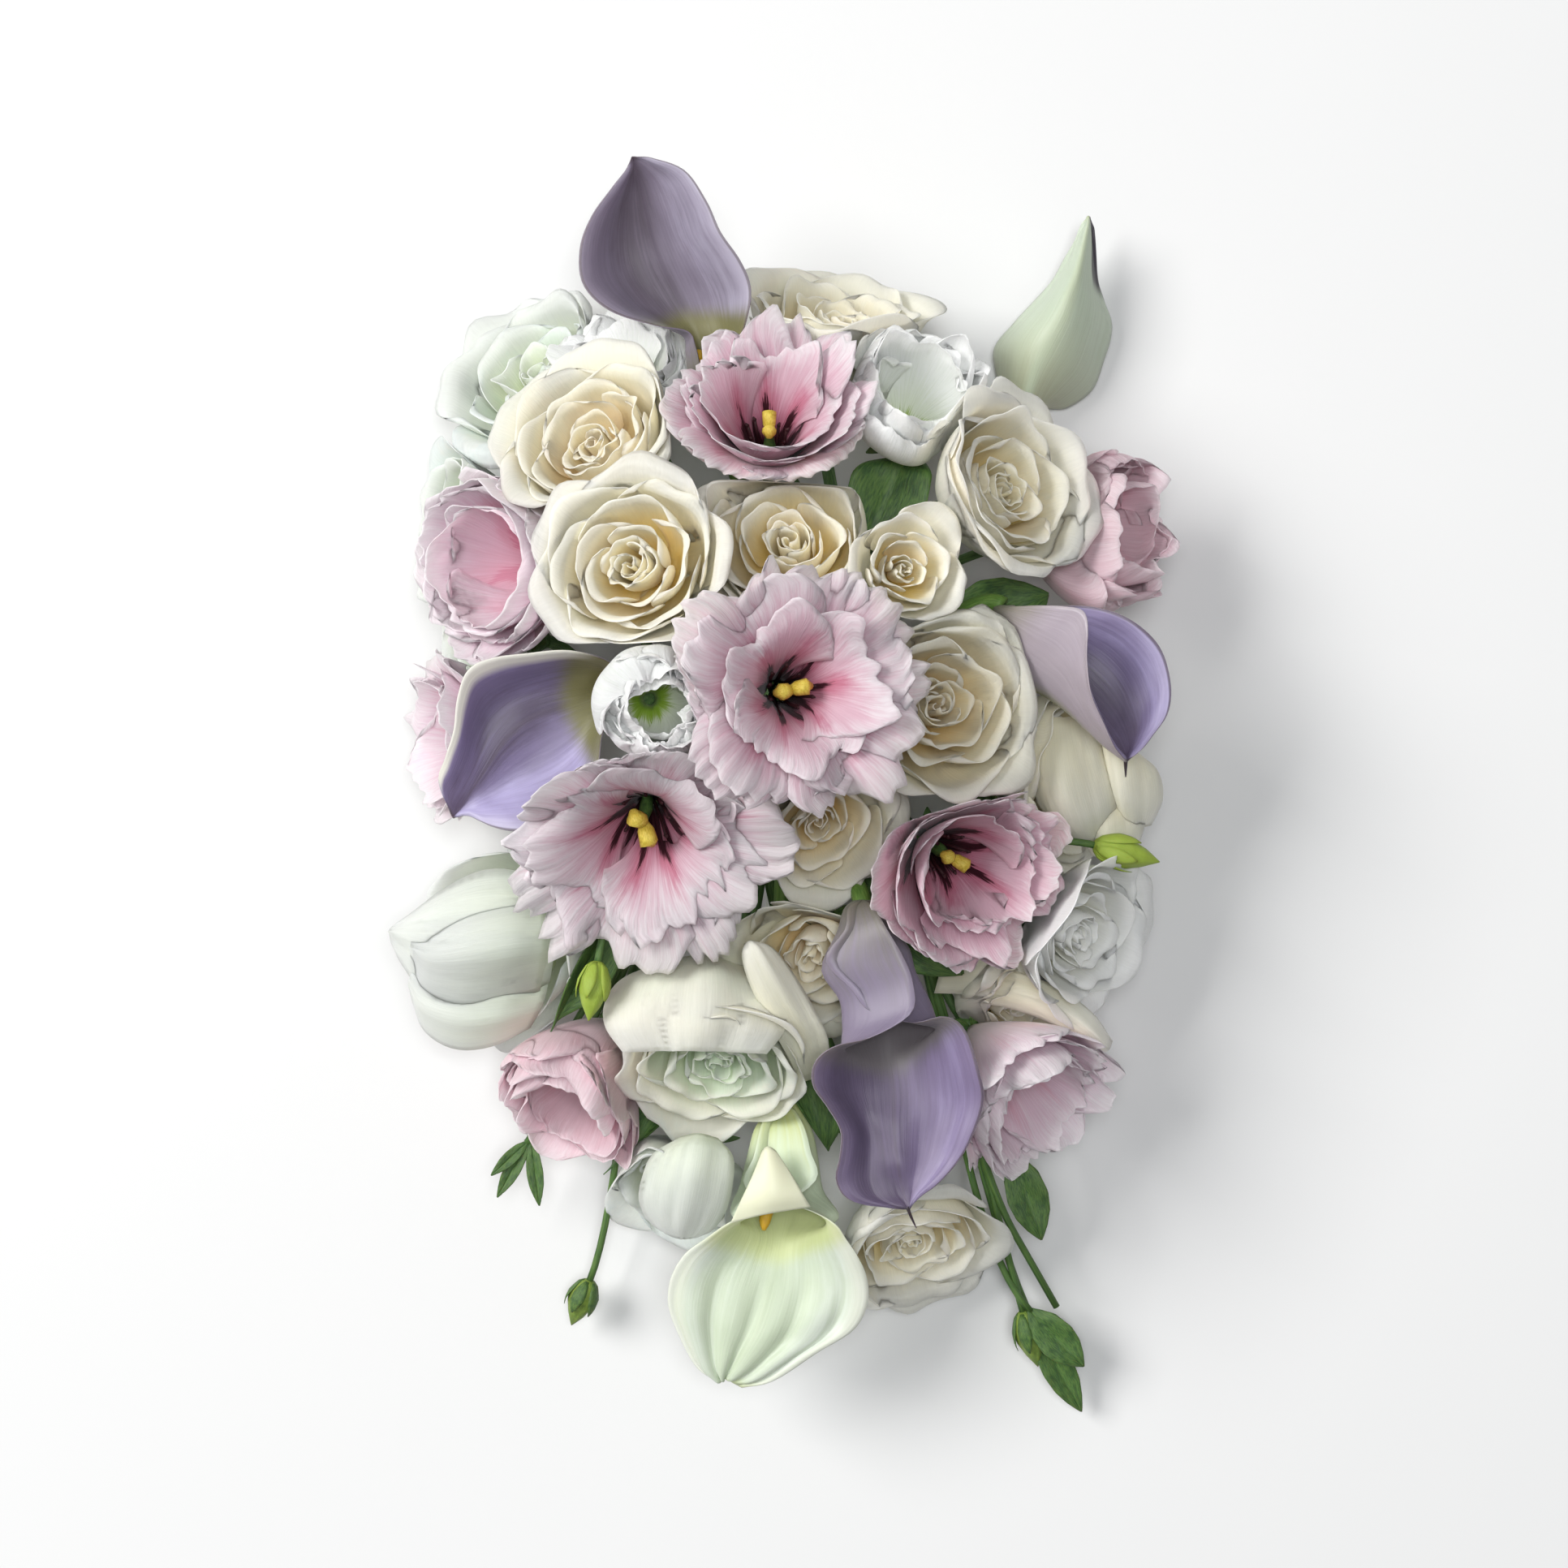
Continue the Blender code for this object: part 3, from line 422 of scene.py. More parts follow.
callas = {  # x, y, z of the foot, heading, lean, length
    "calla_lilac_head": (-26, 140, 57, 107, 76, 82),
    "calla_lilac_left": (-56, 34, 77, 211, 80, 72),
    "calla_lilac_right": (75, 61, 72, -40, 76, 72),
    "calla_lilac_tail": (27, -42, 74, -82, 84, 104),
    "calla_white_right": (86, 124, 8.65, 76, 82, 78),
    "calla_white_tail": (-5, -116, 44, -92, 78, 94),
}
# Each row up a calla, by the photograph's pixels and a height in mm: left margin, mid-rib, right margin,
# then how far the flanks swell sideways in pixels, and how far the left and the right flank sink
callaRows = {
    "calla_lilac_head": [
        (876, 468, 61, 873, 471, 54, 870, 468, 61, 11, 0, 0),
        (878, 452, 65, 869, 456, 52, 862, 452, 65, 18, 0, 0),
        (892, 438, 68, 865, 438, 53, 856, 428, 69, 16, 0, 0),
        (908, 424, 70, 858, 415, 54, 846, 409, 72, 10, 2, 2),
        (919, 392, 73, 847, 392, 55, 805, 401, 75, 6, 5, 5),
        (922, 357, 75, 832, 362, 57, 755, 383, 76, 4, 6, 6),
        (908, 323, 77, 815, 328, 60, 720, 350, 76, 3, 6, 6),
        (884, 288, 78, 803, 293, 63, 716, 308, 76, 2, 6, 6),
        (868, 250, 78, 794, 256, 67, 730, 268, 76, 1, 4, 4),
        (843, 214, 78, 787, 225, 71, 754, 235, 77, 0, 2.5, 2.5),
        (805, 199, 79, 781, 204, 76, 773, 211, 78, 0, 1, 1),
        (780, 194, 80, 778, 194, 80, 777, 195, 80, 0, 0, 0),
    ],
    "calla_lilac_left": [
        (764, 841, 80.5, 765, 843, 73.5, 763, 846, 80.5, 12, 0, 0),
        (764, 832, 85, 758, 846, 71, 758, 866, 84, 15, 0, 0),
        (757, 822, 89, 744, 853, 71, 748, 890, 86, 12, 1, 1),
        (738, 811, 92, 724, 862, 72, 740, 910, 88, 10, 3, 3),
        (700, 803, 95, 696, 870, 74, 734, 952, 90, 8, 6, 6),
        (652, 807, 96, 667, 879, 76, 712, 996, 90, 6, 7, 7),
        (608, 814, 96, 641, 893, 78, 672, 1022, 88, 4, 7, 7),
        (578, 828, 95, 617, 917, 79, 634, 1024, 86, 3, 6, 6),
        (566, 860, 93, 599, 945, 79, 607, 1018, 84, 2, 4, 4),
        (560, 900, 91, 583, 970, 79, 589, 1011, 82, 0, 2, 2),
        (549, 936, 88, 571, 988, 78, 577, 1005, 80, 0, 1, 1),
        (540, 964, 84, 562, 1001, 77, 566, 1005, 78.5, 0, 0, 0),
        (555, 1005, 78, 557, 1009, 77, 558, 1009, 77.5, 0, 0, 0),
    ],
    "calla_lilac_right": [
        (1234, 747, 75.5, 1235, 749, 68.5, 1237, 748, 75.5, 12, 0, 0),
        (1250, 748, 84, 1236, 765, 69, 1254, 752, 80, 14, 0, 0),
        (1278, 747, 92, 1236, 795, 72, 1295, 748, 80, 8, -1, 2),
        (1308, 748, 97, 1246, 826, 73, 1338, 748, 79, 6, -3, 4),
        (1334, 754, 100, 1262, 845, 75, 1375, 757, 80, 6, -3, 6),
        (1342, 780, 101, 1290, 860, 77, 1407, 776, 80, 5, -3, 6),
        (1341, 817, 100, 1318, 880, 78, 1430, 805, 81, 4, -2, 6),
        (1347, 855, 98, 1342, 902, 79, 1441, 845, 82, 3, -2, 5),
        (1360, 890, 95, 1362, 920, 80, 1436, 880, 83, 2, -1, 3),
        (1374, 917, 91, 1377, 932, 81, 1416, 908, 83, 1, 0, 1),
        (1384, 931, 87, 1384, 938, 82, 1398, 927, 84, 0, 0, 0),
        (1388, 938, 84, 1387, 940, 83, 1389, 938, 84, 0, 0, 0),
    ],
    "calla_lilac_tail": [
        (1064, 1110, 77.5, 1062, 1113, 71, 1060, 1110, 77.5, 12, 0, 0),
        (1076, 1119, 84, 1062, 1124, 70, 1044, 1120, 82, 29, 0, 0),
        (1092, 1146, 90, 1063, 1148, 69, 1040, 1146, 85, 45, 0, 0),
        (1112, 1180, 91, 1066, 1182, 69, 1016, 1184, 84, 76, 0, 0),
        (1124, 1212, 92, 1076, 1216, 69, 1048, 1220, 86, 66, 0, 0),
        (1122, 1249, 94, 1086, 1250, 69, 1070, 1246, 87, 66, 0, 0),
        (1075, 1279, 94, 1092, 1285, 72, 1122, 1262, 90, 46, 0, 0),
        (1030, 1292, 93, 1095, 1308, 74, 1162, 1256, 92, 18, 2, 2),
        (1006, 1312, 92, 1098, 1330, 76, 1186, 1272, 92, 6, 4, 4),
        (1003, 1338, 91, 1100, 1358, 78, 1203, 1318, 91, 2, 5, 5),
        (1020, 1364, 90, 1100, 1385, 80, 1210, 1356, 89, 0, 5, 5),
        (1037, 1394, 89, 1102, 1412, 81, 1196, 1400, 88, 0, 5, 5),
        (1035, 1428, 88, 1105, 1435, 82, 1180, 1430, 86, 0, 4, 4),
        (1030, 1455, 86, 1109, 1457, 81, 1155, 1458, 85, 0, 2, 2),
        (1045, 1478, 85, 1114, 1475, 81, 1135, 1472, 83.5, 0, 1, 1),
        (1085, 1488, 83.5, 1118, 1486, 82, 1124, 1484, 82.5, 0, 0, 0),
        (1117, 1491, 82, 1119, 1492, 82, 1120, 1491, 82, 0, 0, 0),
    ],
    "calla_white_right": [
        (1254, 550, 5.5, 1257, 552, 12, 1260, 550, 5.5, 12, 0, 0),
        (1248, 530, 4, 1258, 530, 16, 1268, 532, 4, 15, 0, 0),
        (1238, 498, 4, 1263, 498, 20, 1286, 506, 4, 7, -2, -2),
        (1226, 458, 5, 1276, 455, 24, 1314, 503, 3, 3, -4, -4),
        (1225, 430, 6, 1292, 420, 27, 1345, 480, 4, 2, -4, -4),
        (1250, 401, 8, 1308, 390, 28, 1358, 440, 5, 1, -4, -4),
        (1278, 372, 10, 1318, 362, 28, 1366, 402, 7, 0, -3, -3),
        (1298, 346, 12, 1326, 340, 27, 1357, 374, 10, 0, -2, -2),
        (1314, 320, 14, 1332, 315, 25, 1350, 350, 13, 0, -2, -2),
        (1327, 295, 17, 1337, 290, 23, 1347, 315, 17, 0, -1, -1),
        (1335, 278, 19, 1340, 275, 22, 1345, 288, 19, 0, 0, 0),
        (1338, 268, 20, 1340, 267, 20.5, 1342, 268, 20, 0, 0, 0),
    ],
    "calla_white_tail": [
        (954, 1362, 47.5, 955, 1366, 41, 956, 1362, 47.5, 11, 0, 0),
        (975, 1366, 52, 962, 1372, 38, 947, 1367, 50, 30, 0, 0),
        (990, 1390, 58, 964, 1394, 37, 936, 1390, 53, 48, 0, 0),
        (998, 1420, 61, 964, 1428, 37, 928, 1425, 56, 60, 0, 0),
        (1004, 1456, 63, 963, 1465, 38, 918, 1464, 58, 71, 0, 0),
        (945, 1494, 66, 962, 1500, 43, 994, 1492, 61, 54, 0, 0),
        (900, 1508, 63, 959, 1528, 47, 1026, 1510, 63, 12, 2, 2),
        (866, 1532, 60, 955, 1555, 49, 1040, 1530, 62, 4, 3, 3),
        (842, 1551, 58, 951, 1578, 50, 1055, 1550, 60, 3, 3, 3),
        (826, 1578, 56, 944, 1605, 51, 1067, 1576, 57, 2, 2, 2),
        (823, 1612, 54, 932, 1640, 52, 1068, 1608, 55, 0, 1, 1),
        (837, 1650, 52, 918, 1665, 52, 1050, 1640, 53, 0, 1, 1),
        (856, 1685, 50, 905, 1686, 51, 1005, 1668, 52, 0, 0, 0),
        (876, 1701, 49, 896, 1697, 50, 955, 1700, 50, 0, 0, 0),
        (887, 1704, 48.5, 893, 1700, 49, 913, 1711, 49, 0, 0, 0),
    ],
}
spathe = {
    "thick": 0.9,
    "rows": 64,
    "columns": 41,
    "lip": 0.9,  # how far the margin turns back
    "ripple": 0.45,
    "pleats": {"calla_white_tail": 3.0, "calla_lilac_tail": 0.5},
    # Painted shade and light from dark 0 to light 1 across each spathe, partly the spathe's own tone, then
    # the share of its length that the throat takes
    "shade": {
        "calla_lilac_head": ((1.0, 0.85, 0.75, 0.55, 0.2, 0.12, 0.25, 0.55, 0.7), 0.30),
        "calla_lilac_left": ((0.75, 0.6, 0.35, 0.3, 0.15, 0.5, 0.85, 1.0, 0.95), 0.26),
        "calla_lilac_right": ((0.5, 0.4, 0.3, 0.2, 0.1, 0.15, 0.3, 0.7, 0.8), 0.12),
        "calla_lilac_tail": ((0.35, 0.22, 0.15, 0.1, 0.22, 0.35, 0.55, 0.75, 0.6), 0.4),
        "calla_white_right": ((0.6, 0.55, 0.5, 0.5, 0.5, 0.55, 0.6, 0.7, 0.7), 0.1),
        "calla_white_tail": ((0.95, 0.75, 0.6, 0.5, 0.45, 0.55, 0.65, 0.8, 0.95), 0.42),
    },
    # How much of its margin colour the left and the right margin have, then where that starts and ends; on
    # calla_white_right that colour is painted shadow in the rolled edge
    "margins": {"calla_lilac_left": (1.0, 0.1, 0.25, 0.9), "calla_white_tail": (0.25, 0.25, 0.3, 1.0),
                "calla_white_right": (0.0, 1.0, 0.62, 1.1)},
    "marginFrom": {"calla_white_right": 0.52},
    "spadix": {
        "calla_lilac_head": ((868, 458, 58), (858, 432, 61), 2.0),
        "calla_lilac_left": ((765, 846, 77), (733, 876, 80), 2.4),
        "calla_lilac_right": ((1240, 756, 74), (1262, 778, 80), 2.4),
        "calla_lilac_tail": ((1062, 1130, 77), (1078, 1225, 82), 2.6),
        "calla_white_right": ((1258, 540, 9), (1265, 500, 11), 2.4),
        "calla_white_tail": ((958, 1385, 47), (940, 1517, 58), 3.0),
    },
    "spadixSwell": ((0, 0.1, 0.75, 0.94, 1), (0.8, 1.0, 0.95, 0.6, 0.2)),
}
# How far above its own height a flower counts when the ones behind it are pressed away, in mm
forward = {
    "calla_lilac_head": 30,
    "calla_lilac_left": 50,
    "calla_lilac_right": 40,
    "calla_lilac_tail": 20,
    "calla_white_tail": 30,
    "lisianthus_lower_left": 12,
    "lisianthus_top": 20,
    "white_lisianthus_heart": 30,
}


def rosePetal(flower, index, place, draw):  # place runs from 0 at the outer petal to 1 at the heart
    look, varies = rosePetals, rosePetals["varies"]
    radius, depth = flower.across, flower.along
    heart = max(0.0, (place - look["heartFrom"]) / (1 - look["heartFrom"]))
    share = min(1.0, place / look["heartFrom"])
    # How far this petal opens: the outer ones most, and all of them less in a closed rose
    spread = min(1.0, 1.6 * flower.opened)
    opened = spread * (1 - smooth(place / (0.2 + 0.4 * flower.opened)))
    first, last, inner, core = look["rim"]
    rim = lerp(first, last, share**0.85) if heart <= 0 else lerp(inner, core, heart)
    rim = radius * rim * draw.uniform(*varies["rim"]) * lerp(0.86, 1.0, spread)
    top = depth * np.interp(place, *look["heights"]) * draw.uniform(*varies["top"])
    wide, narrow, wrapped = look["halfAngle"]
    half = lerp(wide, narrow, share) if heart <= 0 else lerp(narrow, wrapped, heart)
    half = half * draw.uniform(*varies["half"])
    u, v = acrossAndAlong(*look["heartCells" if heart > 0 else "cells"])
    v = 1 - (1 - v) ** 1.25
    point = draw.uniform(*varies["point"]) * (0.3 + opened) * np.exp(-((u / 0.3) ** 2)) * v**6
    course = v * (1 - look["cornerDrop"] * np.abs(u) ** 2.4 * v**2) + point
    course = course + 0.016 * v**4 * wavy(u, waves(draw, 3, 1, 4)) * 1.5
    knots = [  # the middle of the petal from foot to rim, as reach and height
        (0.05 * radius, 0.05 * depth),
        (lerp(0.95 * rim, 0.66 * radius, opened), lerp(0.12, 0.0, opened) * depth),
        (lerp(1.14 * rim, 0.78 * radius, opened), lerp(0.66 * top, 0.98 * depth, opened)),
        (rim, top),
    ]
    start = look["rollFrom"]
    reach, height = bezier(knots, np.minimum(course, start))
    # The rim rolls back from the course that the petal has there
    ahead = np.array(bezier(knots, start + 0.01)) - np.array(bezier(knots, start - 0.01))
    ahead = ahead / np.linalg.norm(ahead)
    outer, middle, tight = look["roll"]
    rolled = lerp(middle, outer, opened) if heart <= 0 else lerp(middle, tight, heart)
    rolled = rolled * draw.uniform(*varies["roll"]) * (0.7 + 0.5 * np.abs(u) ** 1.4)
    bend = look["rollLength"] * lerp(rim, radius, 0.4 * opened) / rolled  # radius of the rolled rim
    turned = rolled * np.clip((course - start) / (1 - start), 0, 1.4)
    onwards, aside = np.sin(turned), 1 - np.cos(turned)
    reach = reach + bend * (onwards * ahead[0] + aside * ahead[1])
    height = height + bend * (onwards * ahead[1] - aside * ahead[0])
    turn = flower.golden * index + draw.uniform(*varies["turn"])
    turn = turn + u * half * np.interp(v, *look["outline"])
    # Curled sides, an even overlap, and soft ripples towards the rim
    edges = np.abs(u) ** 3 * v**2
    reach = reach + radius * look["sideCurl"] * edges * (opened - 0.6 * (1 - heart))
    reach = reach + radius * (0.02 + 0.03 * heart) * u * v
    ripple = look["wave"] * radius * v**2 * (1 - 0.6 * heart)
    reach = reach + ripple * wavy(u, waves(draw, 3, 0.8, 2.6)) * 1.3
    height = height + 0.7 * ripple * wavy(u, waves(draw, 3, 1.2, 3.2)) * 1.3
    height = height + draw.uniform(*varies["tilt"]) * depth * u * v
    # No rose is quite round, and its heart sits off the middle
    reach = reach * (1 + look["oval"] * share * np.cos(2 * (turn - flower.ovalTurn)))
    shift = radius * look["offCentre"] * share * v
    return aboutAxis(turn, reach, height) + aboutAxis(flower.shiftTurn, shift, 0 * shift)


def lisianthusPetal(flower, whorl, index, draw):
    look, varies = lisianthusPetals, lisianthusPetals["varies"]
    count, wide, high = look["whorls"][whorl]
    radius, depth = flower.across, flower.along
    rim = radius * wide * draw.uniform(*varies["rim"])
    top = depth * high * draw.uniform(*varies["top"])
    opened = flower.opened * (0.6 + 0.4 * wide) + draw.uniform(*varies["opened"])
    opened = np.clip(opened, -0.7, 1)  # below nought the bowl closes over
    crimped = next((share for part, share in look["crimped"].items() if part in flower.name), 1.0)
    u, v = acrossAndAlong(*look["cells"])
    v = 1 - (1 - v) ** 1.3
    course = v * (1 - look["corner"] * np.abs(u) ** 2.6 * v**2)
    course = course + look["notch"] * crimped * v**6 * wavy(u, waves(draw, 4, 5, 13))
    flare = 0.76 + (0.24 if flower.opened > 0 else 0.6) * opened
    knots = [  # the middle of the petal from foot to rim, as reach and height
        (0.08 * radius, 0.0),
        (lerp(0.46, 0.20, opened) * rim, lerp(0.3, 0.50, opened) * depth),
        (lerp(0.84, 0.56, opened) * rim, lerp(0.85, 1.00, opened) * depth),
        (flare * rim, top * lerp(1.08, 0.96, opened)),
    ]
    reach, height = bezier(knots, course)
    half = look["overlap"] * look["broad"].get(flower.name, 1.0) * math.pi / count
    half = half * draw.uniform(*varies["half"])
    turn = fullTurn * (index + 0.5 * whorl) / count + draw.uniform(*varies["turn"])
    turn = turn + u * half * np.interp(v, *look["outline"])
    # Broad ruffles, finer crinkles, and a frill at the very rim
    frilled = crimped * np.clip((v - 0.5) / 0.5, 0, 1) ** 2
    ruffle = radius * look["ruffle"] * v**2.2 * wavy(u, waves(draw, 3, 0.9, 2.8)) * 1.6
    crinkle = radius * look["crinkle"] * v**3 * wavy(u, waves(draw, 3, 3.5, 6)) * crimped
    frill = radius * look["frill"] * frilled * wavy(u, waves(draw, 3, 8, 12)) * 1.5
    reach = reach + radius * 0.05 * u * v + 0.6 * (ruffle + frill) + crinkle
    height = height + ruffle + 0.9 * frill + crinkle - depth * 0.12 * opened * np.abs(u) ** 3 * v**2
    return aboutAxis(turn, reach, height)


def placed(x, y, z):  # a pixel of the photograph and a height, as a point in mm
    scale = photo["scale"] * (photo["eye"] - z) / (photo["eye"] - photo["front"])
    return np.stack([(x - photo["middle"][0]) * scale, (photo["middle"][1] - y) * scale, z], -1)


def placedRows(rows):  # three points from the first nine numbers of each row
    return np.array([[placed(*row[k:k + 3]) for k in (0, 3, 6)] for row in rows])


def through(values, count):  # count steps on a smooth course through the values, along their first axis
    steps = np.linspace(0, len(values) - 1, count)
    k = np.clip(steps.astype(int), 0, len(values) - 2)
    t = (steps - k).reshape((-1,) + (1,) * (values.ndim - 1))
    slopes = np.gradient(values, axis=0)
    first = (2 * t**3 - 3 * t**2 + 1) * values[k] + (t**3 - 2 * t**2 + t) * slopes[k]
    return first + (3 * t**2 - 2 * t**3) * values[k + 1] + (t**3 - t**2) * slopes[k + 1]


def smoothGrid(guides, rows, columns):
    return through(through(guides, rows).swapaxes(0, 1), columns).swapaxes(0, 1)


def spatheGrid(name):  # five guides up the calla, then a turned lip, ripples and pleats
    look = spathe
    rows = np.array(callaRows[name], float)
    left, rib, right = placedRows(rows).swapaxes(0, 1)
    way = unit(np.gradient(rib, axis=0) * (1, 1, 0))
    side = np.stack([way[:, 1], -way[:, 0], 0 * way[:, 0]], 1)
    side = side * np.sign(((right - left) * side).sum())
    swell = side * rows[:, 9:10] * photo["scale"]
    sunk = np.array((0, 0, 1.0))
    guides = [left, (left + rib) / 2 - swell - sunk * rows[:, 10:11], rib,
              (right + rib) / 2 + swell - sunk * rows[:, 11:12], right]
    grid = smoothGrid(np.stack(guides, 1), look["rows"], look["columns"])
    u, v = acrossAndAlong(look["columns"], look["rows"])
    draw = random.Random(name)
    blade = smooth((v - 0.3) / 0.2) * (1 - smooth((v - 0.92) / 0.08))
    lift = -look["lip"] * smooth((np.abs(u) - 0.8) / 0.2) ** 2 * blade
    lift = lift + look["ripple"] * blade * u**2 * wavy(u + 2.6 * v, waves(draw, 4, 1.5, 5)) * 1.5
    pleat = np.abs(np.sin(7.4 * u + 0.7)) ** 0.7 - 0.5
    pleat = look["pleats"].get(name, 0) * pleat * smooth((v - 0.5) / 0.25)
    lift = lift + pleat * (1 - smooth((v - 0.95) / 0.05))
    return grid + facingOf(grid) * lift[..., None]


class Flower:
    golden = 2.39996  # the turn from one rose petal to the next, in radians

    def __init__(self, name, kind, row):
        self.name = name
        self.kind = kind
        heading, lean, *rest = row[3:]
        if kind == "calla":
            spin, self.along = 0, rest[0]
        else:
            spin, self.across, self.along, self.opened, self.warm, *self.petals = rest
        self.turn = turnOf(heading, lean, spin)
        self.axis = self.turn[:, 2]
        self.foot = np.array(row[:3], float)
        if kind != "calla":
            self.foot = self.foot - self.axis * self.along
        self.sheets = []  # grid, place in the whorls and tint of each petal

    def world(self, points):
        return points @ self.turn.T + self.foot

    def grow(self):
        draw = random.Random(self.name)
        self.ovalTurn, self.shiftTurn = draw.uniform(0, 3.14), draw.uniform(0, 6.28)
        if self.kind == "calla":
            self.sheets.append((spatheGrid(self.name), 0.5, 0.5))
            return
        if self.kind == "rose":
            count = round(self.petals[0] * rosePetals["fewer"])
            for k in range(count):
                place = k / (count - 1)
                grid = self.world(rosePetal(self, k, place, draw))
                self.sheets.append((grid, place, draw.random()))
            return
        for whorl, (count, _, _) in enumerate(lisianthusPetals["whorls"]):
            for k in range(count):
                grid = self.world(lisianthusPetal(self, whorl, k, draw))
                self.sheets.append((grid, whorl / 2, draw.random()))

    def points(self):
        return np.concatenate([grid.reshape(-1, 3) for grid, _, _ in self.sheets])

    def forwardness(self):
        middle = self.foot + self.axis * self.along * (0.6 if self.kind == "calla" else 1)
        return middle[2] + forward.get(self.name, 0)

    def pressed(self, push):
        self.sheets = [(push(grid), layer, tint) for grid, layer, tint in self.sheets]


def softened(depth, soft):  # nought behind a plane and the depth itself well past it
    return soft * np.logaddexp(0, depth / soft)


def dividingPlane(front, back):  # the plane past the front head that the back one has to bend least for
    towards = Vector(back.mean(0) - front.mean(0)).normalized()
    turn = towards.to_track_quat("Z", "Y").to_matrix()
    ways = [towards]
    for lean in bunch["leans"]:
        for heading in range(0, 360, bunch["turnStep"]):
            ways.append(turn @ Vector(turnOf(heading, lean, 0)[:, 2]))
    ways = np.array([tuple(way) for way in ways])
    limits = (front @ ways.T).max(0) + bunch["headGap"]
    depths = np.clip(limits - back @ ways.T, 0, None)
    best = int((depths**2).sum(0).argmin())
    return (ways[best], limits[best]) if depths[:, best].max() > 0 else None


def offPlane(plane, soft):  # a push that bends points to the plane's free side
    def push(points):
        depth = points @ plane[0] - plane[1]
        return points + (softened(depth, soft) - depth)[..., None] * plane[0]
    return push


def offBall(points):
    away = points - foam["centre"]
    far = np.linalg.norm(away, axis=-1, keepdims=True)
    depth = far - bunch["foamRoom"]
    held = bunch["foamRoom"] + softened(depth, bunch["foamSoft"])
    return foam["centre"] + away / np.maximum(far, 1e-6) * held


foam = {"centre": np.array((0.0, 25.0, 45.0)), "radius": 36.0}
# A flower that a plane holds back, so that the calla at the left stays free
heldBack = {"lisianthus_lower_left": ((0.645, -0.764, 0.0), -51.0, 4.0)}
floorPlane = (np.array((0.0, 0.0, 1.0)), bunch["floor"])
flowers = {}
for kind, rows in (("rose", roses), ("lisianthus", lisianthuses), ("calla", callas)):
    for name, row in rows.items():
        flowers[name] = Flower(name, kind, row)
        flowers[name].grow()
order = sorted(flowers, key=lambda name: flowers[name].forwardness(), reverse=True)
thinned = {}
for place, name in enumerate(order):
    flower = flowers[name]
    if name in heldBack:
        way, limit, soft = heldBack[name]
        flower.pressed(offPlane((np.array(way), limit), soft))
    planes = [dividingPlane(thinned[other], flower.points()[::bunch["every"]]) for other in order[:place]]
    stiff = flower.kind == "calla"
    for soft in (bunch["spatheSoft"],) if stiff else (bunch["pressSoft"], bunch["pressSoft"] / 3):
        for plane in filter(None, planes):
            flower.pressed(offPlane(plane, soft))
    if not stiff:
        flower.pressed(offBall)
    flower.pressed(offPlane(floorPlane, bunch["floorSoft"]))
    thinned[name] = flower.points()[::bunch["every"]]
print("flowers: grown and pressed together")


# Finishes of the petals, stems and holder
skins = {  # what each shader holds the same all over
    "rose": {"Specular IOR Level": 0.3, "Subsurface Weight": 0.8, "Subsurface Scale": 0.003,
             "Subsurface Radius": (1.0, 0.97, 0.9), "Sheen Weight": 0.1, "Sheen Roughness": 0.45},
    "lisianthus": {"Specular IOR Level": 0.25, "Subsurface Weight": 0.7, "Subsurface Scale": 0.003,
                   "Subsurface Radius": (1.0, 0.95, 0.97), "Sheen Weight": 0.15, "Sheen Roughness": 0.4},
    "calla": {"Specular IOR Level": 0.4, "Subsurface Weight": 0.5, "Subsurface Scale": 0.003,
              "Subsurface Radius": (1.0, 0.9, 1.0), "Sheen Weight": 0.1, "Sheen Roughness": 0.4},
    "green": {"Specular IOR Level": 0.4, "Subsurface Weight": 0.08, "Subsurface Scale": 0.003},
    "plain": {"Specular IOR Level": 0.35},
    "floor": {"Specular IOR Level": 0.2},
}


grains = {  # how far a noise is stretched across and along, the step between two petals, scale and detail
    "rose": {"cloud": (1.1, 0.9, 31.0, 2.6, 4.0), "veins": (16.0, 1.6, 17.0, 2.4, 3.0)},
    "lisianthus": {"cloud": (1.3, 1.2, 23.0, 2.8, 4.0), "veins": (26.0, 1.2, 11.0, 2.2, 4.0),
                   "folds": (7.0, 1.5, 41.0, 2.0, 2.0)},
    "calla": {"cloud": (1.4, 1.8, 1.0, 2.6, 4.0), "streak": (14.0, 1.3, 1.0, 2.2, 3.0)},
    "green": {"cloud": (1.5, 3.0, 29.0, 2.0, 3.0), "streak": (9.0, 6.0, 13.0, 2.5, 4.0)},
}


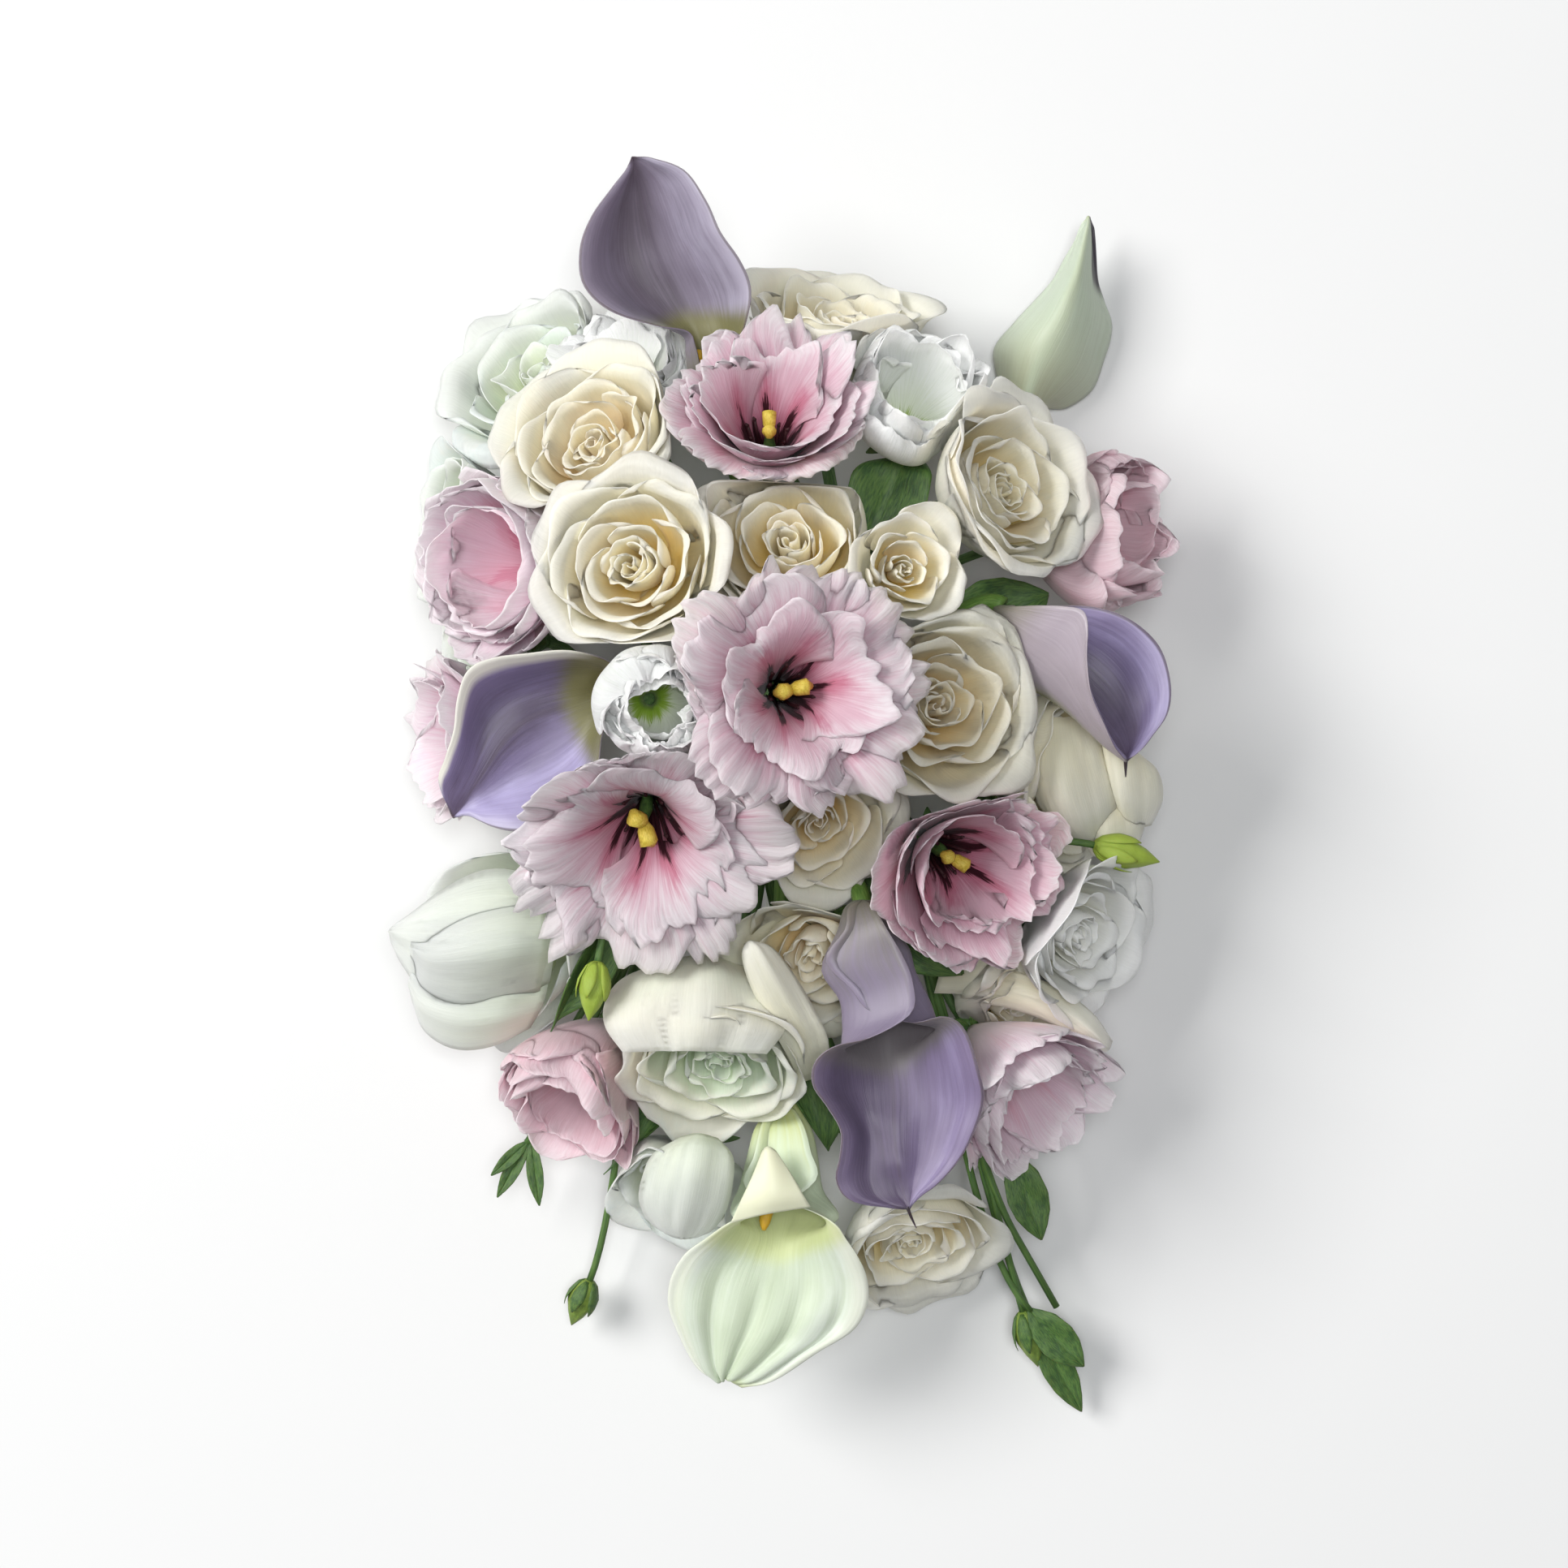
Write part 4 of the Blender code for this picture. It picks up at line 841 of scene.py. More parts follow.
def roseFinish(wire, look):
    across, along, layer = wire.mark("across"), wire.mark("along"), wire.mark("layer")
    inner, tint, warm = wire.mark("inner"), wire.mark("tint"), wire.mark("warm")
    cloud = wire.grain(across, along, tint, "rose", "cloud")
    veins = wire.grain(across, along, tint, "rose", "veins")
    depth = layer * 0.62 + (1.0 - along) * 0.42 + (cloud - 0.5) * 0.5 + (warm - 0.6) * 0.35
    body = wire.mixed(wire.step(depth, 0.12, 0.55), look["edge"], look["middle"])
    body = wire.mixed(wire.step(depth, 0.5, 0.95), body, look["heart"])  # warmer towards the heart
    outside = wire.mixed(wire.step(along + (cloud - 0.5) * 0.6, 0.15, 0.85), look["green"], look["edge"])
    faded = wire.step(1.0 - layer, 0.45, 1.0) * (1.0 - 0.55 * inner)
    body = wire.mixed(faded, body, outside)  # green at the foot of the outer petals
    # Painted shade: a golden tone deep between the petals near their feet, standing in for shade and light
    # through the petals
    painted_crease_mask = wire.step(1.0 - along + (cloud - 0.5) * 0.25, 0.25, 0.8) * wire.step(layer, 0.05, 0.45)
    body = wire.mixed(painted_crease_mask * inner * 0.95, body, look["crease"])  # painted golden shade and glow deep between the petals
    rim = wire.step(along + abs(across) * 0.25, 0.8, 1.2)
    body = wire.mixed(rim * 0.6, body, look["rim"])
    body = wire.mixed(wire.step(tint * 0.6 + cloud * 0.5, 0.68, 0.85) * 0.35, body, look["blush"])
    body = wire.shaded(body, 0.96 + (veins - 0.5) * 0.12 + (tint - 0.5) * 0.06)
    normal = wire.bump(0.35, 0.0005, veins * 0.7 + cloud * 0.5)
    return {**skins["rose"], "Base Color": body, "Roughness": 0.5 + cloud * 0.14, "Normal": normal}


def lisianthusFinish(wire, look):
    across, along = wire.mark("across"), wire.mark("along")
    tint, warm, inner = wire.mark("tint"), wire.mark("warm"), wire.mark("inner")
    cloud = wire.grain(across, along, tint, "lisianthus", "cloud")
    veins = wire.grain(across, along, tint, "lisianthus", "veins")
    folds = wire.grain(across, along, tint, "lisianthus", "folds")
    # Dark rays run up from the throat along the veins
    rays = abs(wire.maths("SINE", across * 4.6 + (cloud - 0.5) * 2.0))
    ray = along + (veins - 0.5) * 0.3 + (cloud - 0.5) * 0.12 + rays * look["star"]
    pale = along + (veins - 0.5) * 0.5 + (folds - 0.5) * 0.5 + (0.5 - warm) * 0.4
    body = wire.mixed(wire.step(pale, 0.42, 1.0), look["middle"], look["rim"])
    end = look["throatEnd"]
    body = wire.mixed(wire.step(ray, end, end + 0.34), look["ring"], body)
    body = wire.mixed(wire.step(ray, end - 0.06, end + 0.02), look["throat"], body)
    body = wire.mixed(wire.step(ray, 0.1, 0.26), look["eye"], body)
    body = wire.mixed((1.0 - inner) * wire.step(1.0 - along, 0.25, 0.9), body, look["back"])
    shade = look["bright"] + (veins - 0.5) * 0.2 + (tint - 0.5) * 0.08 + (folds - 0.5) * 0.1
    body = wire.shaded(body, shade)
    high = (veins * 0.5 + folds) * (along * along * along + 0.25)
    normal = wire.bump(0.55, 0.0011, high)
    return {**skins["lisianthus"], "Base Color": body, "Roughness": 0.5 + cloud * 0.15, "Normal": normal}


def callaFinish(wire, look):
    across, along, inner = wire.mark("across"), wire.mark("along"), wire.mark("inner")
    # On a calla these marks hold its painted shade and light, how far past the throat it is, and its coloured
    # margin, which on the white calla at the right is painted shadow
    shade, past, margin = wire.mark("layer"), wire.mark("warm"), wire.mark("tint")
    side = abs(across)
    cloud = wire.grain(across, along, look["seed"], "calla", "cloud")
    streak = wire.grain(across, along, look["seed"], "calla", "streak")
    # Painted shade and light across the spathe, broken up by cloud and streaks
    mixed = shade + (cloud - 0.5) * 0.6 + (streak - 0.5) * 0.28
    body = wire.mixed(wire.step(mixed, 0.05, 0.55), look["dark"], look["body"])
    body = wire.mixed(wire.step(mixed, 0.5, 1.05), body, look["light"])
    body = wire.mixed((1.0 - wire.step(side, 0.0, 0.05)) * 0.45, body, look["rib"])
    body = wire.mixed(wire.step(past + (streak - 0.5) * 0.3, 0.15, 0.9), look["throat"], body)
    body = wire.mixed(wire.step(along + (cloud - 0.5) * 0.05, 0.93, 1.0), body, look["tip"])
    body = wire.mixed(wire.step(side, 0.965, 0.985) * look["edgeShare"], body, look["edge"])
    foot = wire.step(along + (streak - 0.5) * 0.2, 0.0, look["backFrom"])
    back = wire.mixed(foot, look["throatBack"], look["back"])
    back = wire.mixed(wire.step(side + (streak - 0.5) * 0.1, 0.03, 0.22), look["ribBack"], back)
    back = wire.mixed(wire.step(along, 0.9, 1.0) * 0.7, back, look["tip"])
    body = wire.mixed((1.0 - inner) * 0.9, body, back)
    body = wire.mixed(margin, body, look["margin"])
    body = wire.shaded(body, 0.90 + (streak - 0.5) * 0.12)
    normal = wire.bump(0.3, 0.0006, streak * 0.8 + cloud * 0.4)
    return {**skins["calla"], "Base Color": body, "Roughness": 0.36 + cloud * 0.16, "Normal": normal}


def greenFinish(wire, look):
    across, along, tint = wire.mark("across"), wire.mark("along"), wire.mark("tint")
    streak = wire.grain(across, along, tint, "green", "streak")
    cloud = wire.grain(across, along, tint, "green", "cloud")
    body = wire.mixed(wire.step(streak * 0.6 + cloud * 0.4, 0.3, 0.7), look["dark"], look["light"])
    body = wire.mixed(wire.step(tint + (cloud - 0.5) * 0.3, 0.45, 1.0) * 0.6, body, look["young"])
    normal = wire.bump(0.4, 0.0005, streak)
    return {**skins["green"], "Base Color": body, "Roughness": 0.42 + cloud * 0.2, "Normal": normal}


def spotFinish(wire, look):
    place = wire.node("TexCoord", {}, {}, "Object")
    spots = wire.node("TexVoronoi", {}, {"Vector": place, "Scale": look["scale"]})
    cloud = wire.noise(place, look["cloud"], 5.0)
    body = wire.mixed(wire.step(spots, 0.15, 0.6), look["dark"], look["light"])
    body = wire.mixed(cloud * 0.5, body, look["dark"])
    normal = wire.bump(look["bump"], 0.001, spots + cloud * 0.6)
    return {**skins["plain"], "Base Color": body, "Roughness": look["rough"] + cloud * 0.1, "Normal": normal}


# Colours as a screen shows them
# Each rose's crease colour is painted golden shade and glow between its petals
roseLooks = {
    "rose_cream": {"heart": (1.0, 0.95, 0.78), "middle": (1.0, 0.97, 0.85), "edge": (0.98, 0.96, 0.88),
                   "green": (0.90, 0.91, 0.79), "rim": (1.0, 0.98, 0.92), "blush": (0.97, 0.91, 0.83),
                   "crease": (0.98, 0.82, 0.48)},
    "rose_white": {"heart": (0.86, 0.92, 0.74), "middle": (0.90, 0.93, 0.84), "edge": (0.90, 0.92, 0.87),
                   "green": (0.80, 0.86, 0.78), "rim": (0.93, 0.95, 0.93), "blush": (0.80, 0.90, 0.90),
                   "crease": (0.86, 0.92, 0.66)},
    "rose_tail": {"heart": (0.86, 0.95, 0.78), "middle": (0.91, 0.97, 0.85), "edge": (0.97, 0.95, 0.85),
                  "green": (0.94, 0.93, 0.80), "rim": (0.98, 0.98, 0.93), "blush": (0.88, 0.96, 0.90),
                  "crease": (0.84, 0.94, 0.72)},
    "rose_snow": {"heart": (0.98, 0.98, 0.92), "middle": (0.99, 0.99, 0.96), "edge": (0.98, 0.98, 0.96),
                  "green": (0.92, 0.94, 0.89), "rim": (1.0, 1.0, 0.98), "blush": (0.94, 0.97, 0.97),
                  "crease": (0.92, 0.91, 0.80)},
    # a darker copy of the cream: partly beige, partly painted shade
    "rose_beige": {"heart": (0.98, 0.90, 0.72), "middle": (0.97, 0.93, 0.80), "edge": (0.95, 0.93, 0.83),
                   "green": (0.86, 0.87, 0.74), "rim": (0.99, 0.97, 0.90), "blush": (0.96, 0.88, 0.79),
                   "crease": (0.94, 0.80, 0.56)},
}
lisianthusLooks = {
    "lisianthus_pink": {"rim": (0.96, 0.90, 0.93), "middle": (0.91, 0.71, 0.78), "ring": (0.80, 0.47, 0.56),
                        "throat": (0.22, 0.05, 0.10), "eye": (0.15, 0.05, 0.05), "back": (0.86, 0.80, 0.82),
                        "throatEnd": 0.43, "star": 0.26, "bright": 0.84},
    "lisianthus_white": {"rim": (1.0, 1.0, 1.0), "middle": (0.98, 0.99, 0.97), "ring": (0.93, 0.96, 0.86),
                         "throat": (0.74, 0.82, 0.46), "eye": (0.52, 0.66, 0.20), "back": (0.97, 0.99, 0.96),
                         "throatEnd": 0.22, "star": 0.05, "bright": 0.98},
}
pinkLook = lisianthusLooks["lisianthus_pink"]
lisianthusLooks["lisianthus_blush"] = {
    **pinkLook, "middle": (0.95, 0.80, 0.87), "ring": (0.93, 0.70, 0.77), "throat": (0.90, 0.60, 0.68),
    "eye": (0.62, 0.40, 0.36), "back": (0.97, 0.87, 0.92), "bright": 0.93}
lisianthusLooks["lisianthus_dusty"] = {
    **pinkLook, "rim": (0.96, 0.84, 0.88), "middle": (0.93, 0.74, 0.79), "ring": (0.88, 0.62, 0.68),
    "throat": (0.60, 0.30, 0.36), "back": (0.92, 0.77, 0.81), "bright": 0.94}
# dark, body and light are the ends of the painted shade and light across a spathe
callaLooks = {
    "calla_violet": {"dark": (0.36, 0.32, 0.41), "body": (0.50, 0.46, 0.59), "light": (0.69, 0.66, 0.81),
                     "rib": (0.38, 0.34, 0.40), "throat": (0.47, 0.46, 0.31), "tip": (0.22, 0.18, 0.20),
                     "edge": (0.30, 0.26, 0.25), "edgeShare": 0.7, "margin": (0.88, 0.87, 0.82), "seed": 3.0,
                     "back": (0.54, 0.50, 0.59), "throatBack": (0.50, 0.49, 0.43), "backFrom": 0.3,
                     "ribBack": (0.58, 0.60, 0.38)},
    "calla_green_white": {"dark": (0.68, 0.74, 0.62), "body": (0.79, 0.84, 0.74), "light": (0.88, 0.91, 0.87),
                          "rib": (0.76, 0.81, 0.70), "throat": (0.80, 0.84, 0.62), "tip": (0.74, 0.79, 0.60),
                          "edge": (0.94, 0.96, 0.90), "edgeShare": 0.3, "margin": (0.95, 0.93, 0.80),
                          "seed": 8.0, "back": (0.80, 0.86, 0.77), "throatBack": (0.80, 0.83, 0.50),
                          "backFrom": 0.3, "ribBack": (0.77, 0.82, 0.68)},
}
violetLook = callaLooks["calla_violet"]
# The white calla at the right: its near-black margin is painted shadow in the rolled edge, and its back
# darker towards the foot is painted shade under it
callaLooks["calla_dark_edge"] = {
    **callaLooks["calla_green_white"], "margin": (0.17, 0.17, 0.18), "back": (0.75, 0.80, 0.72),
    "ribBack": (0.73, 0.77, 0.67), "throatBack": (0.68, 0.67, 0.54), "backFrom": 0.55, "seed": 5.0}
# The calla at the tail: a greyer throat and a darker body, painted shade inside its tube
callaLooks["calla_dim_throat"] = {
    **violetLook, "throat": (0.44, 0.42, 0.43), "light": (0.65, 0.61, 0.75), "body": (0.48, 0.43, 0.55)}
callaLooks["calla_pale_back"] = {**violetLook, "back": (0.70, 0.66, 0.69), "seed": 9.0}
callaLooks["calla_grey_violet"] = {
    **violetLook, "dark": (0.36, 0.33, 0.37), "body": (0.50, 0.47, 0.53), "light": (0.68, 0.66, 0.73),
    "seed": 6.0}
greenLooks = {
    "stem_green": {"dark": (0.17, 0.29, 0.15), "light": (0.36, 0.49, 0.24), "young": (0.70, 0.78, 0.28)},
    "calla_stem_green": {"dark": (0.3, 0.44, 0.18), "light": (0.46, 0.6, 0.28), "young": (0.6, 0.7, 0.34)},
    "spadix_yellow": {"dark": (0.78, 0.58, 0.12), "light": (0.92, 0.76, 0.24), "young": (0.95, 0.82, 0.36)},
    "stigma_yellow": {"dark": (0.70, 0.60, 0.16), "light": (0.88, 0.80, 0.36), "young": (0.92, 0.86, 0.50)},
    "stamen_dark": {"dark": (0.14, 0.05, 0.07), "light": (0.24, 0.09, 0.11), "young": (0.46, 0.34, 0.14)},
}
spotLooks = {
    "wet_foam": {"dark": (0.06, 0.20, 0.13), "light": (0.13, 0.34, 0.22), "scale": 900.0, "cloud": 60.0,
                 "bump": 0.7, "rough": 0.75},
    "holder_plastic": {"dark": (0.80, 0.82, 0.78), "light": (0.88, 0.89, 0.86), "scale": 1500.0,
                       "cloud": 90.0, "bump": 0.08, "rough": 0.35},
}
finishes = {}
for make, looks in ((roseFinish, roseLooks), (lisianthusFinish, lisianthusLooks), (callaFinish, callaLooks),
                    (greenFinish, greenLooks), (spotFinish, spotLooks)):
    for name, look in looks.items():
        finishes[name] = finishOf(name, make, look)


# The heads
eye = {
    "size": {"pink": 40, "white": 70},  # the flower's width over this gives the stigma's size
    "stigma": 4.4,
    "height": 0.56,  # share of the throat's depth that the ovary fills
    "ovary": ((0.4, 0.0, 0.0), (2.0, 0.0, 2.0), (2.4, 0.5, 0.0), (1.4, 0.8, 0.0), (0.8, 0.95, 0.0)),
    "lobe": ((0.0, 0.9, 0.0), (0.4, 1.0, 0.0), (1.0, 1.0, 0.8), (1.25, 1.0, 0.3)),
    "lobeRadii": (0.3, 0.55, 0.62, 0.3),
    "stamens": 9,
}


def roseSlot(name):
    return next((slot for slot, names in roseKinds.items() if name in names), "rose_cream")


def addEye(pile, flower):  # ovary, stigma and stamens in a lisianthus throat
    draw = random.Random(flower.name + " eye")
    white = "white" in flower.name
    size = eye["stigma"] * flower.across / eye["size"]["white" if white else "pink"]
    high = flower.along * eye["height"]
    ovary = [(radius, high * share + rise) for radius, share, rise in eye["ovary"]]
    pile.addTube(flower.world(turnedRings(ovary, 12)), 1, tint=0.3)
    for side in (-1, 1):
        course = [(side * out * size, 0, high * share + rise * size) for out, share, rise in eye["lobe"]]
        rings = ringsAlong(np.array(course), [size * radius for radius in eye["lobeRadii"]], 10)
        pile.addTube(flower.world(rings), 2, tint=0.2 if white else 0.5)
    thread, podTint = (1, 0.9) if white else (3, 0.4)
    for k in range(eye["stamens"]):
        turn = fullTurn * k / eye["stamens"] + draw.uniform(-0.2, 0.2)
        lean = draw.uniform(0.8, 1.2) * size * 1.6
        way = np.array((math.cos(turn), math.sin(turn), 0))
        top = way * lean + (0, 0, high * draw.uniform(0.75, 1.0))
        course = np.array([way * 1.5, lerp(way * 1.5, top, 0.6) + way * 0.8, top])
        pile.addTube(flower.world(ringsAlong(course, [0.7, 0.65, 0.5], 6)), thread, tint=0.1)
        pod = np.array([top - (0, 0, 0.9), top, top + way * 0.8 + (0, 0, 0.9)])
        pile.addTube(flower.world(ringsAlong(pod, [0.4, 0.75, 0.3], 6)), thread, tint=podTint)


# Petals that stand away from their rose: left edge, middle and right edge of each row up the petal
loosePetals = {
    "rose_tail_heart": [
        ((805, 1190, 58, 862, 1178, 68, 912, 1190, 58),
         (764, 1208, 71, 860, 1194, 84, 950, 1210, 70),
         (744, 1236, 80, 857, 1226, 90, 966, 1240, 79),
         (744, 1266, 86, 855, 1262, 91, 966, 1270, 84),
         (766, 1298, 88, 853, 1296, 90, 944, 1300, 86)),
        ((985, 1335, 62, 1000, 1330, 60, 1015, 1326, 62),
         (968, 1300, 74, 995, 1290, 73, 1020, 1284, 75),
         (943, 1256, 82, 972, 1246, 83, 998, 1236, 80),
         (922, 1212, 86, 948, 1202, 89, 972, 1194, 83),
         (913, 1180, 87, 932, 1172, 90, 950, 1168, 85),
         (916, 1164, 86, 923, 1160, 88, 930, 1161, 85)),
    ],
    "rose_tail_left": [
        ((838, 1402, 57, 860, 1398, 60, 884, 1404, 59),
         (804, 1422, 60, 854, 1412, 67, 902, 1426, 64),
         (790, 1452, 60, 848, 1444, 70, 902, 1458, 64),
         (786, 1482, 57, 842, 1480, 67, 894, 1492, 60),
         (800, 1508, 52, 838, 1512, 60, 878, 1516, 54),
         (820, 1522, 49, 838, 1528, 53, 858, 1526, 50)),
    ],
    "rose_left_low": [
        ((676, 1096, 60, 684, 1150, 68, 676, 1212, 58),
         (634, 1074, 62, 640, 1152, 73, 628, 1236, 60),
         (590, 1074, 61, 588, 1154, 72, 574, 1248, 58),
         (545, 1096, 56, 536, 1152, 66, 524, 1228, 53),
         (508, 1124, 50, 500, 1150, 57, 494, 1190, 48),
         (486, 1140, 46, 478, 1148, 50, 480, 1160, 45)),
        ((668, 1108, 68, 674, 1160, 73, 664, 1222, 60),
         (630, 1108, 70, 630, 1164, 78, 612, 1240, 61),
         (588, 1118, 69, 580, 1172, 76, 562, 1244, 59),
         (545, 1134, 64, 535, 1178, 69, 520, 1224, 54),
         (512, 1148, 56, 504, 1168, 59, 506, 1190, 50)),
        ((676, 1205, 55, 668, 1238, 56, 652, 1268, 44),
         (630, 1200, 62, 618, 1250, 62, 606, 1290, 46),
         (580, 1202, 61, 566, 1254, 59, 560, 1294, 43),
         (535, 1202, 56, 520, 1240, 53, 522, 1272, 40),
         (508, 1196, 51, 502, 1212, 50, 506, 1232, 43)),
    ],
    "rose_right_edge_low": [
        ((1195, 1235, 52, 1200, 1215, 54, 1207, 1193, 52),
         (1240, 1243, 56, 1250, 1222, 60, 1258, 1200, 57),
         (1285, 1258, 57, 1297, 1238, 62, 1306, 1220, 58),
         (1325, 1280, 55, 1338, 1266, 60, 1346, 1250, 56),
         (1358, 1300, 52, 1366, 1294, 54, 1370, 1284, 52)),
        ((1150, 1225, 48, 1160, 1190, 50, 1172, 1158, 48),
         (1205, 1225, 54, 1215, 1185, 57, 1225, 1150, 54),
         (1260, 1215, 52, 1270, 1180, 56, 1278, 1152, 52),
         (1290, 1200, 48, 1298, 1180, 50, 1300, 1165, 48)),
    ],
    "rose_right_edge": [
        ((1350, 850, 52, 1378, 890, 58, 1395, 925, 52),
         (1345, 905, 60, 1380, 935, 68, 1425, 950, 60),
         (1355, 960, 58, 1385, 985, 66, 1432, 985, 56),
         (1372, 1010, 52, 1392, 1022, 55, 1418, 1018, 50)),
        ((1270, 870, 58, 1300, 885, 64, 1340, 880, 60),
         (1262, 935, 64, 1305, 955, 73, 1362, 930, 64),
         (1275, 990, 62, 1320, 1010, 70, 1375, 985, 62),
         (1305, 1030, 56, 1335, 1040, 60, 1368, 1028, 54)),
        ((1330, 960, 52, 1360, 970, 58, 1400, 960, 54),
         (1325, 1010, 54, 1362, 1030, 62, 1410, 1010, 54),
         (1345, 1055, 50, 1372, 1062, 54, 1400, 1050, 49)),
    ],
}
loose = {"columns": 15, "rows": 20, "foldedWidth": 42}  # a petal of that width in mm has folds of full height
ownFinish = {
    # rose_upper_left is cream and takes the beige look as painted shade
    "rose_upper_left": "rose_beige", "rose_tail_heart": "rose_tail", "rose_right_low": "rose_snow",
    "calla_white_right": "calla_dark_edge", "calla_lilac_tail": "calla_dim_throat",
    "calla_lilac_head": "calla_grey_violet", "calla_lilac_right": "calla_pale_back",
    "lisianthus_left": "lisianthus_blush", "lisianthus_tail_right": "lisianthus_blush",
    "lisianthus_left_edge": "lisianthus_blush", "lisianthus_right": "lisianthus_dusty",
    "lisianthus_tail_left": "lisianthus_dusty",
}
# Thin tips past the blade, as pixels with heights and then radii, and a collar that is turned over
callaTips = {
    "calla_lilac_tail": ((1117, 1488, 82, 1121, 1499, 81.5, 1128, 1514, 79), (0.7, 0.55, 0.2)),
    "calla_lilac_right": ((1386, 936, 82.5, 1386, 946, 81, 1386, 958, 78), (0.8, 0.6, 0.25)),
}
callaCollars = {
    "calla_white_tail": [
        (938, 1420, 66, 945, 1414, 66.5, 955, 1419, 66),
        (926, 1450, 68, 950, 1446, 70, 974, 1448, 68),
        (910, 1484, 68, 948, 1477, 71, 988, 1472, 69),
        (899, 1508, 66, 943, 1497, 69, 998, 1488, 67),
    ],
}


def addTip(pile, ends, steps=10):
    course, radii = ends
    radii = np.interp(np.linspace(0, 1, steps), (0, 0.5, 1), radii)
    rings = ringsAlong(through(placedRows([course])[0], steps), radii, 8)
    pile.addTube(rings, layer=0.1, along=1.0, inner=1.0, warm=1.0, tint=0.0, across=0.3)


def makeCalla(name, grid):
    pile = Pile()
    slot = "calla_green_white" if "white" in name else "calla_violet"
    painted_shades, throat = spathe["shade"][name]
    u, v = acrossAndAlong(spathe["columns"], spathe["rows"])
    left, right, low, high = spathe["margins"].get(name, (0.0, 0.0, 0.3, 1.0))
    start = spathe["marginFrom"].get(name, 0.8)
    margin = left * smooth((-u - start) / 0.1) + right * smooth((u - start) / 0.1)
    margin = margin * smooth((v - low) / 0.1) * (1 - smooth((v - high) / 0.05))
    # painted shade and light across the spathe, from the calla's own row of values
    shade = np.interp(u, np.linspace(-1, 1, len(painted_shades)), painted_shades) + 0 * v
    past = smooth((v - throat) / 0.16) + 0 * u
    pile.addSheet(grid, spathe["thick"], taper=0.6, layer=shade, warm=past, tint=margin)
    if name in callaTips:
        addTip(pile, callaTips[name])
    if name in callaCollars:
        collar = smoothGrid(placedRows(callaCollars[name]), 22, 25)
        # the collar gets a light value of the painted shade and light
        pile.addSheet(collar, spathe["thick"], layer=0.8, along=0.6, warm=0.75, tint=0.7, across=0.4)
    pile.piece("petal_" + name, [ownFinish.get(name, slot)], name)


def addLoosePetal(pile, name, rows):
    guides = placedRows(rows)
    grid = smoothGrid(guides, loose["rows"], loose["columns"])
    u, v = acrossAndAlong(loose["columns"], loose["rows"])
    draw = random.Random(name)
    folds = 1.8 * v * wavy(u + v, waves(draw, 3, 1, 3))
    folds = folds + 0.9 * (1 - v**2) * wavy(u * (1.4 - v), waves(draw, 3, 4, 7))
    folds += 2.4 * (np.abs(np.sin(4.3 * u + 1.2 * v + 0.4)) ** 0.6 - 0.6) * np.sin(math.pi * v) ** 0.7
    folds += 1.2 * v**3 * wavy(u, waves(draw, 3, 4, 8)) - smooth((np.abs(u) - 0.6) / 0.4)
    wide = np.linalg.norm(guides[:, 0] - guides[:, 2], axis=1).max()
    grid[..., 2] += folds * wide / loose["foldedWidth"]
    pile.addSheet(grid, rosePetals["thick"], layer=0.15, tint=0.3, warm=0.4)


def makeHead(name, flower):
    pile = Pile()
    look = rosePetals if flower.kind == "rose" else lisianthusPetals
    for grid, layer, tint in flower.sheets:
        pile.addSheet(grid, look["thick"], layer=layer, tint=tint, warm=flower.warm)
    for rows in loosePetals.get(name, []):
        addLoosePetal(pile, name, rows)
    if flower.kind == "rose":
        slot = roseSlot(name)
        used = [ownFinish.get(name, slot)]
    else:
        slot = "lisianthus_white" if "white" in name else "lisianthus_pink"
        used = [ownFinish.get(name, slot), "stem_green", "stigma_yellow", "stamen_dark"]
        if name not in lisianthusPetals["noEye"]:
            addEye(pile, flower)
    pile.piece("petal_" + name, used, name)


for name, flower in flowers.items():
    if flower.kind == "calla":
        makeCalla(name, flower.sheets[0][0])
    else:
        makeHead(name, flower)
print("heads: made")

# Stems, buds and leaves, on the same courses as the source's sprays
sprays = {
    "rose_stem_upper_left": ["rose_upper_left", "rose_head_left", "rose_left_edge"],
    "rose_stem_heart": ["rose_heart_left", "rose_heart_top"],
    "rose_stem_upper_right": ["rose_small_heart", "rose_upper_right", "rose_head"],
    "rose_stem_right": ["rose_heart_right", "rose_right_edge"],
    "rose_stem_middle": ["rose_filler", "rose_middle_low"],
    "rose_stem_right_low": ["rose_right_low", "rose_right_edge_low"],
    "rose_stem_left": ["rose_left_low", "rose_left_edge_low"],
    "rose_stem_tail": ["rose_tail_heart", "rose_tail_right", "rose_tail_left"],
    "lisianthus_stem_heart": ["lisianthus_heart", "white_lisianthus_heart"],
    "lisianthus_stem_top": ["lisianthus_top", "white_lisianthus_upper_left"],
    "lisianthus_stem_left": ["lisianthus_left", "lisianthus_left_edge"],
    "lisianthus_stem_right": ["lisianthus_right", "white_lisianthus_upper_right"],
    "lisianthus_stem_tail_left": ["lisianthus_lower_left", "lisianthus_tail_left"],
    "lisianthus_stem_tail_right": ["lisianthus_lower_right", "lisianthus_tail_right"],
}
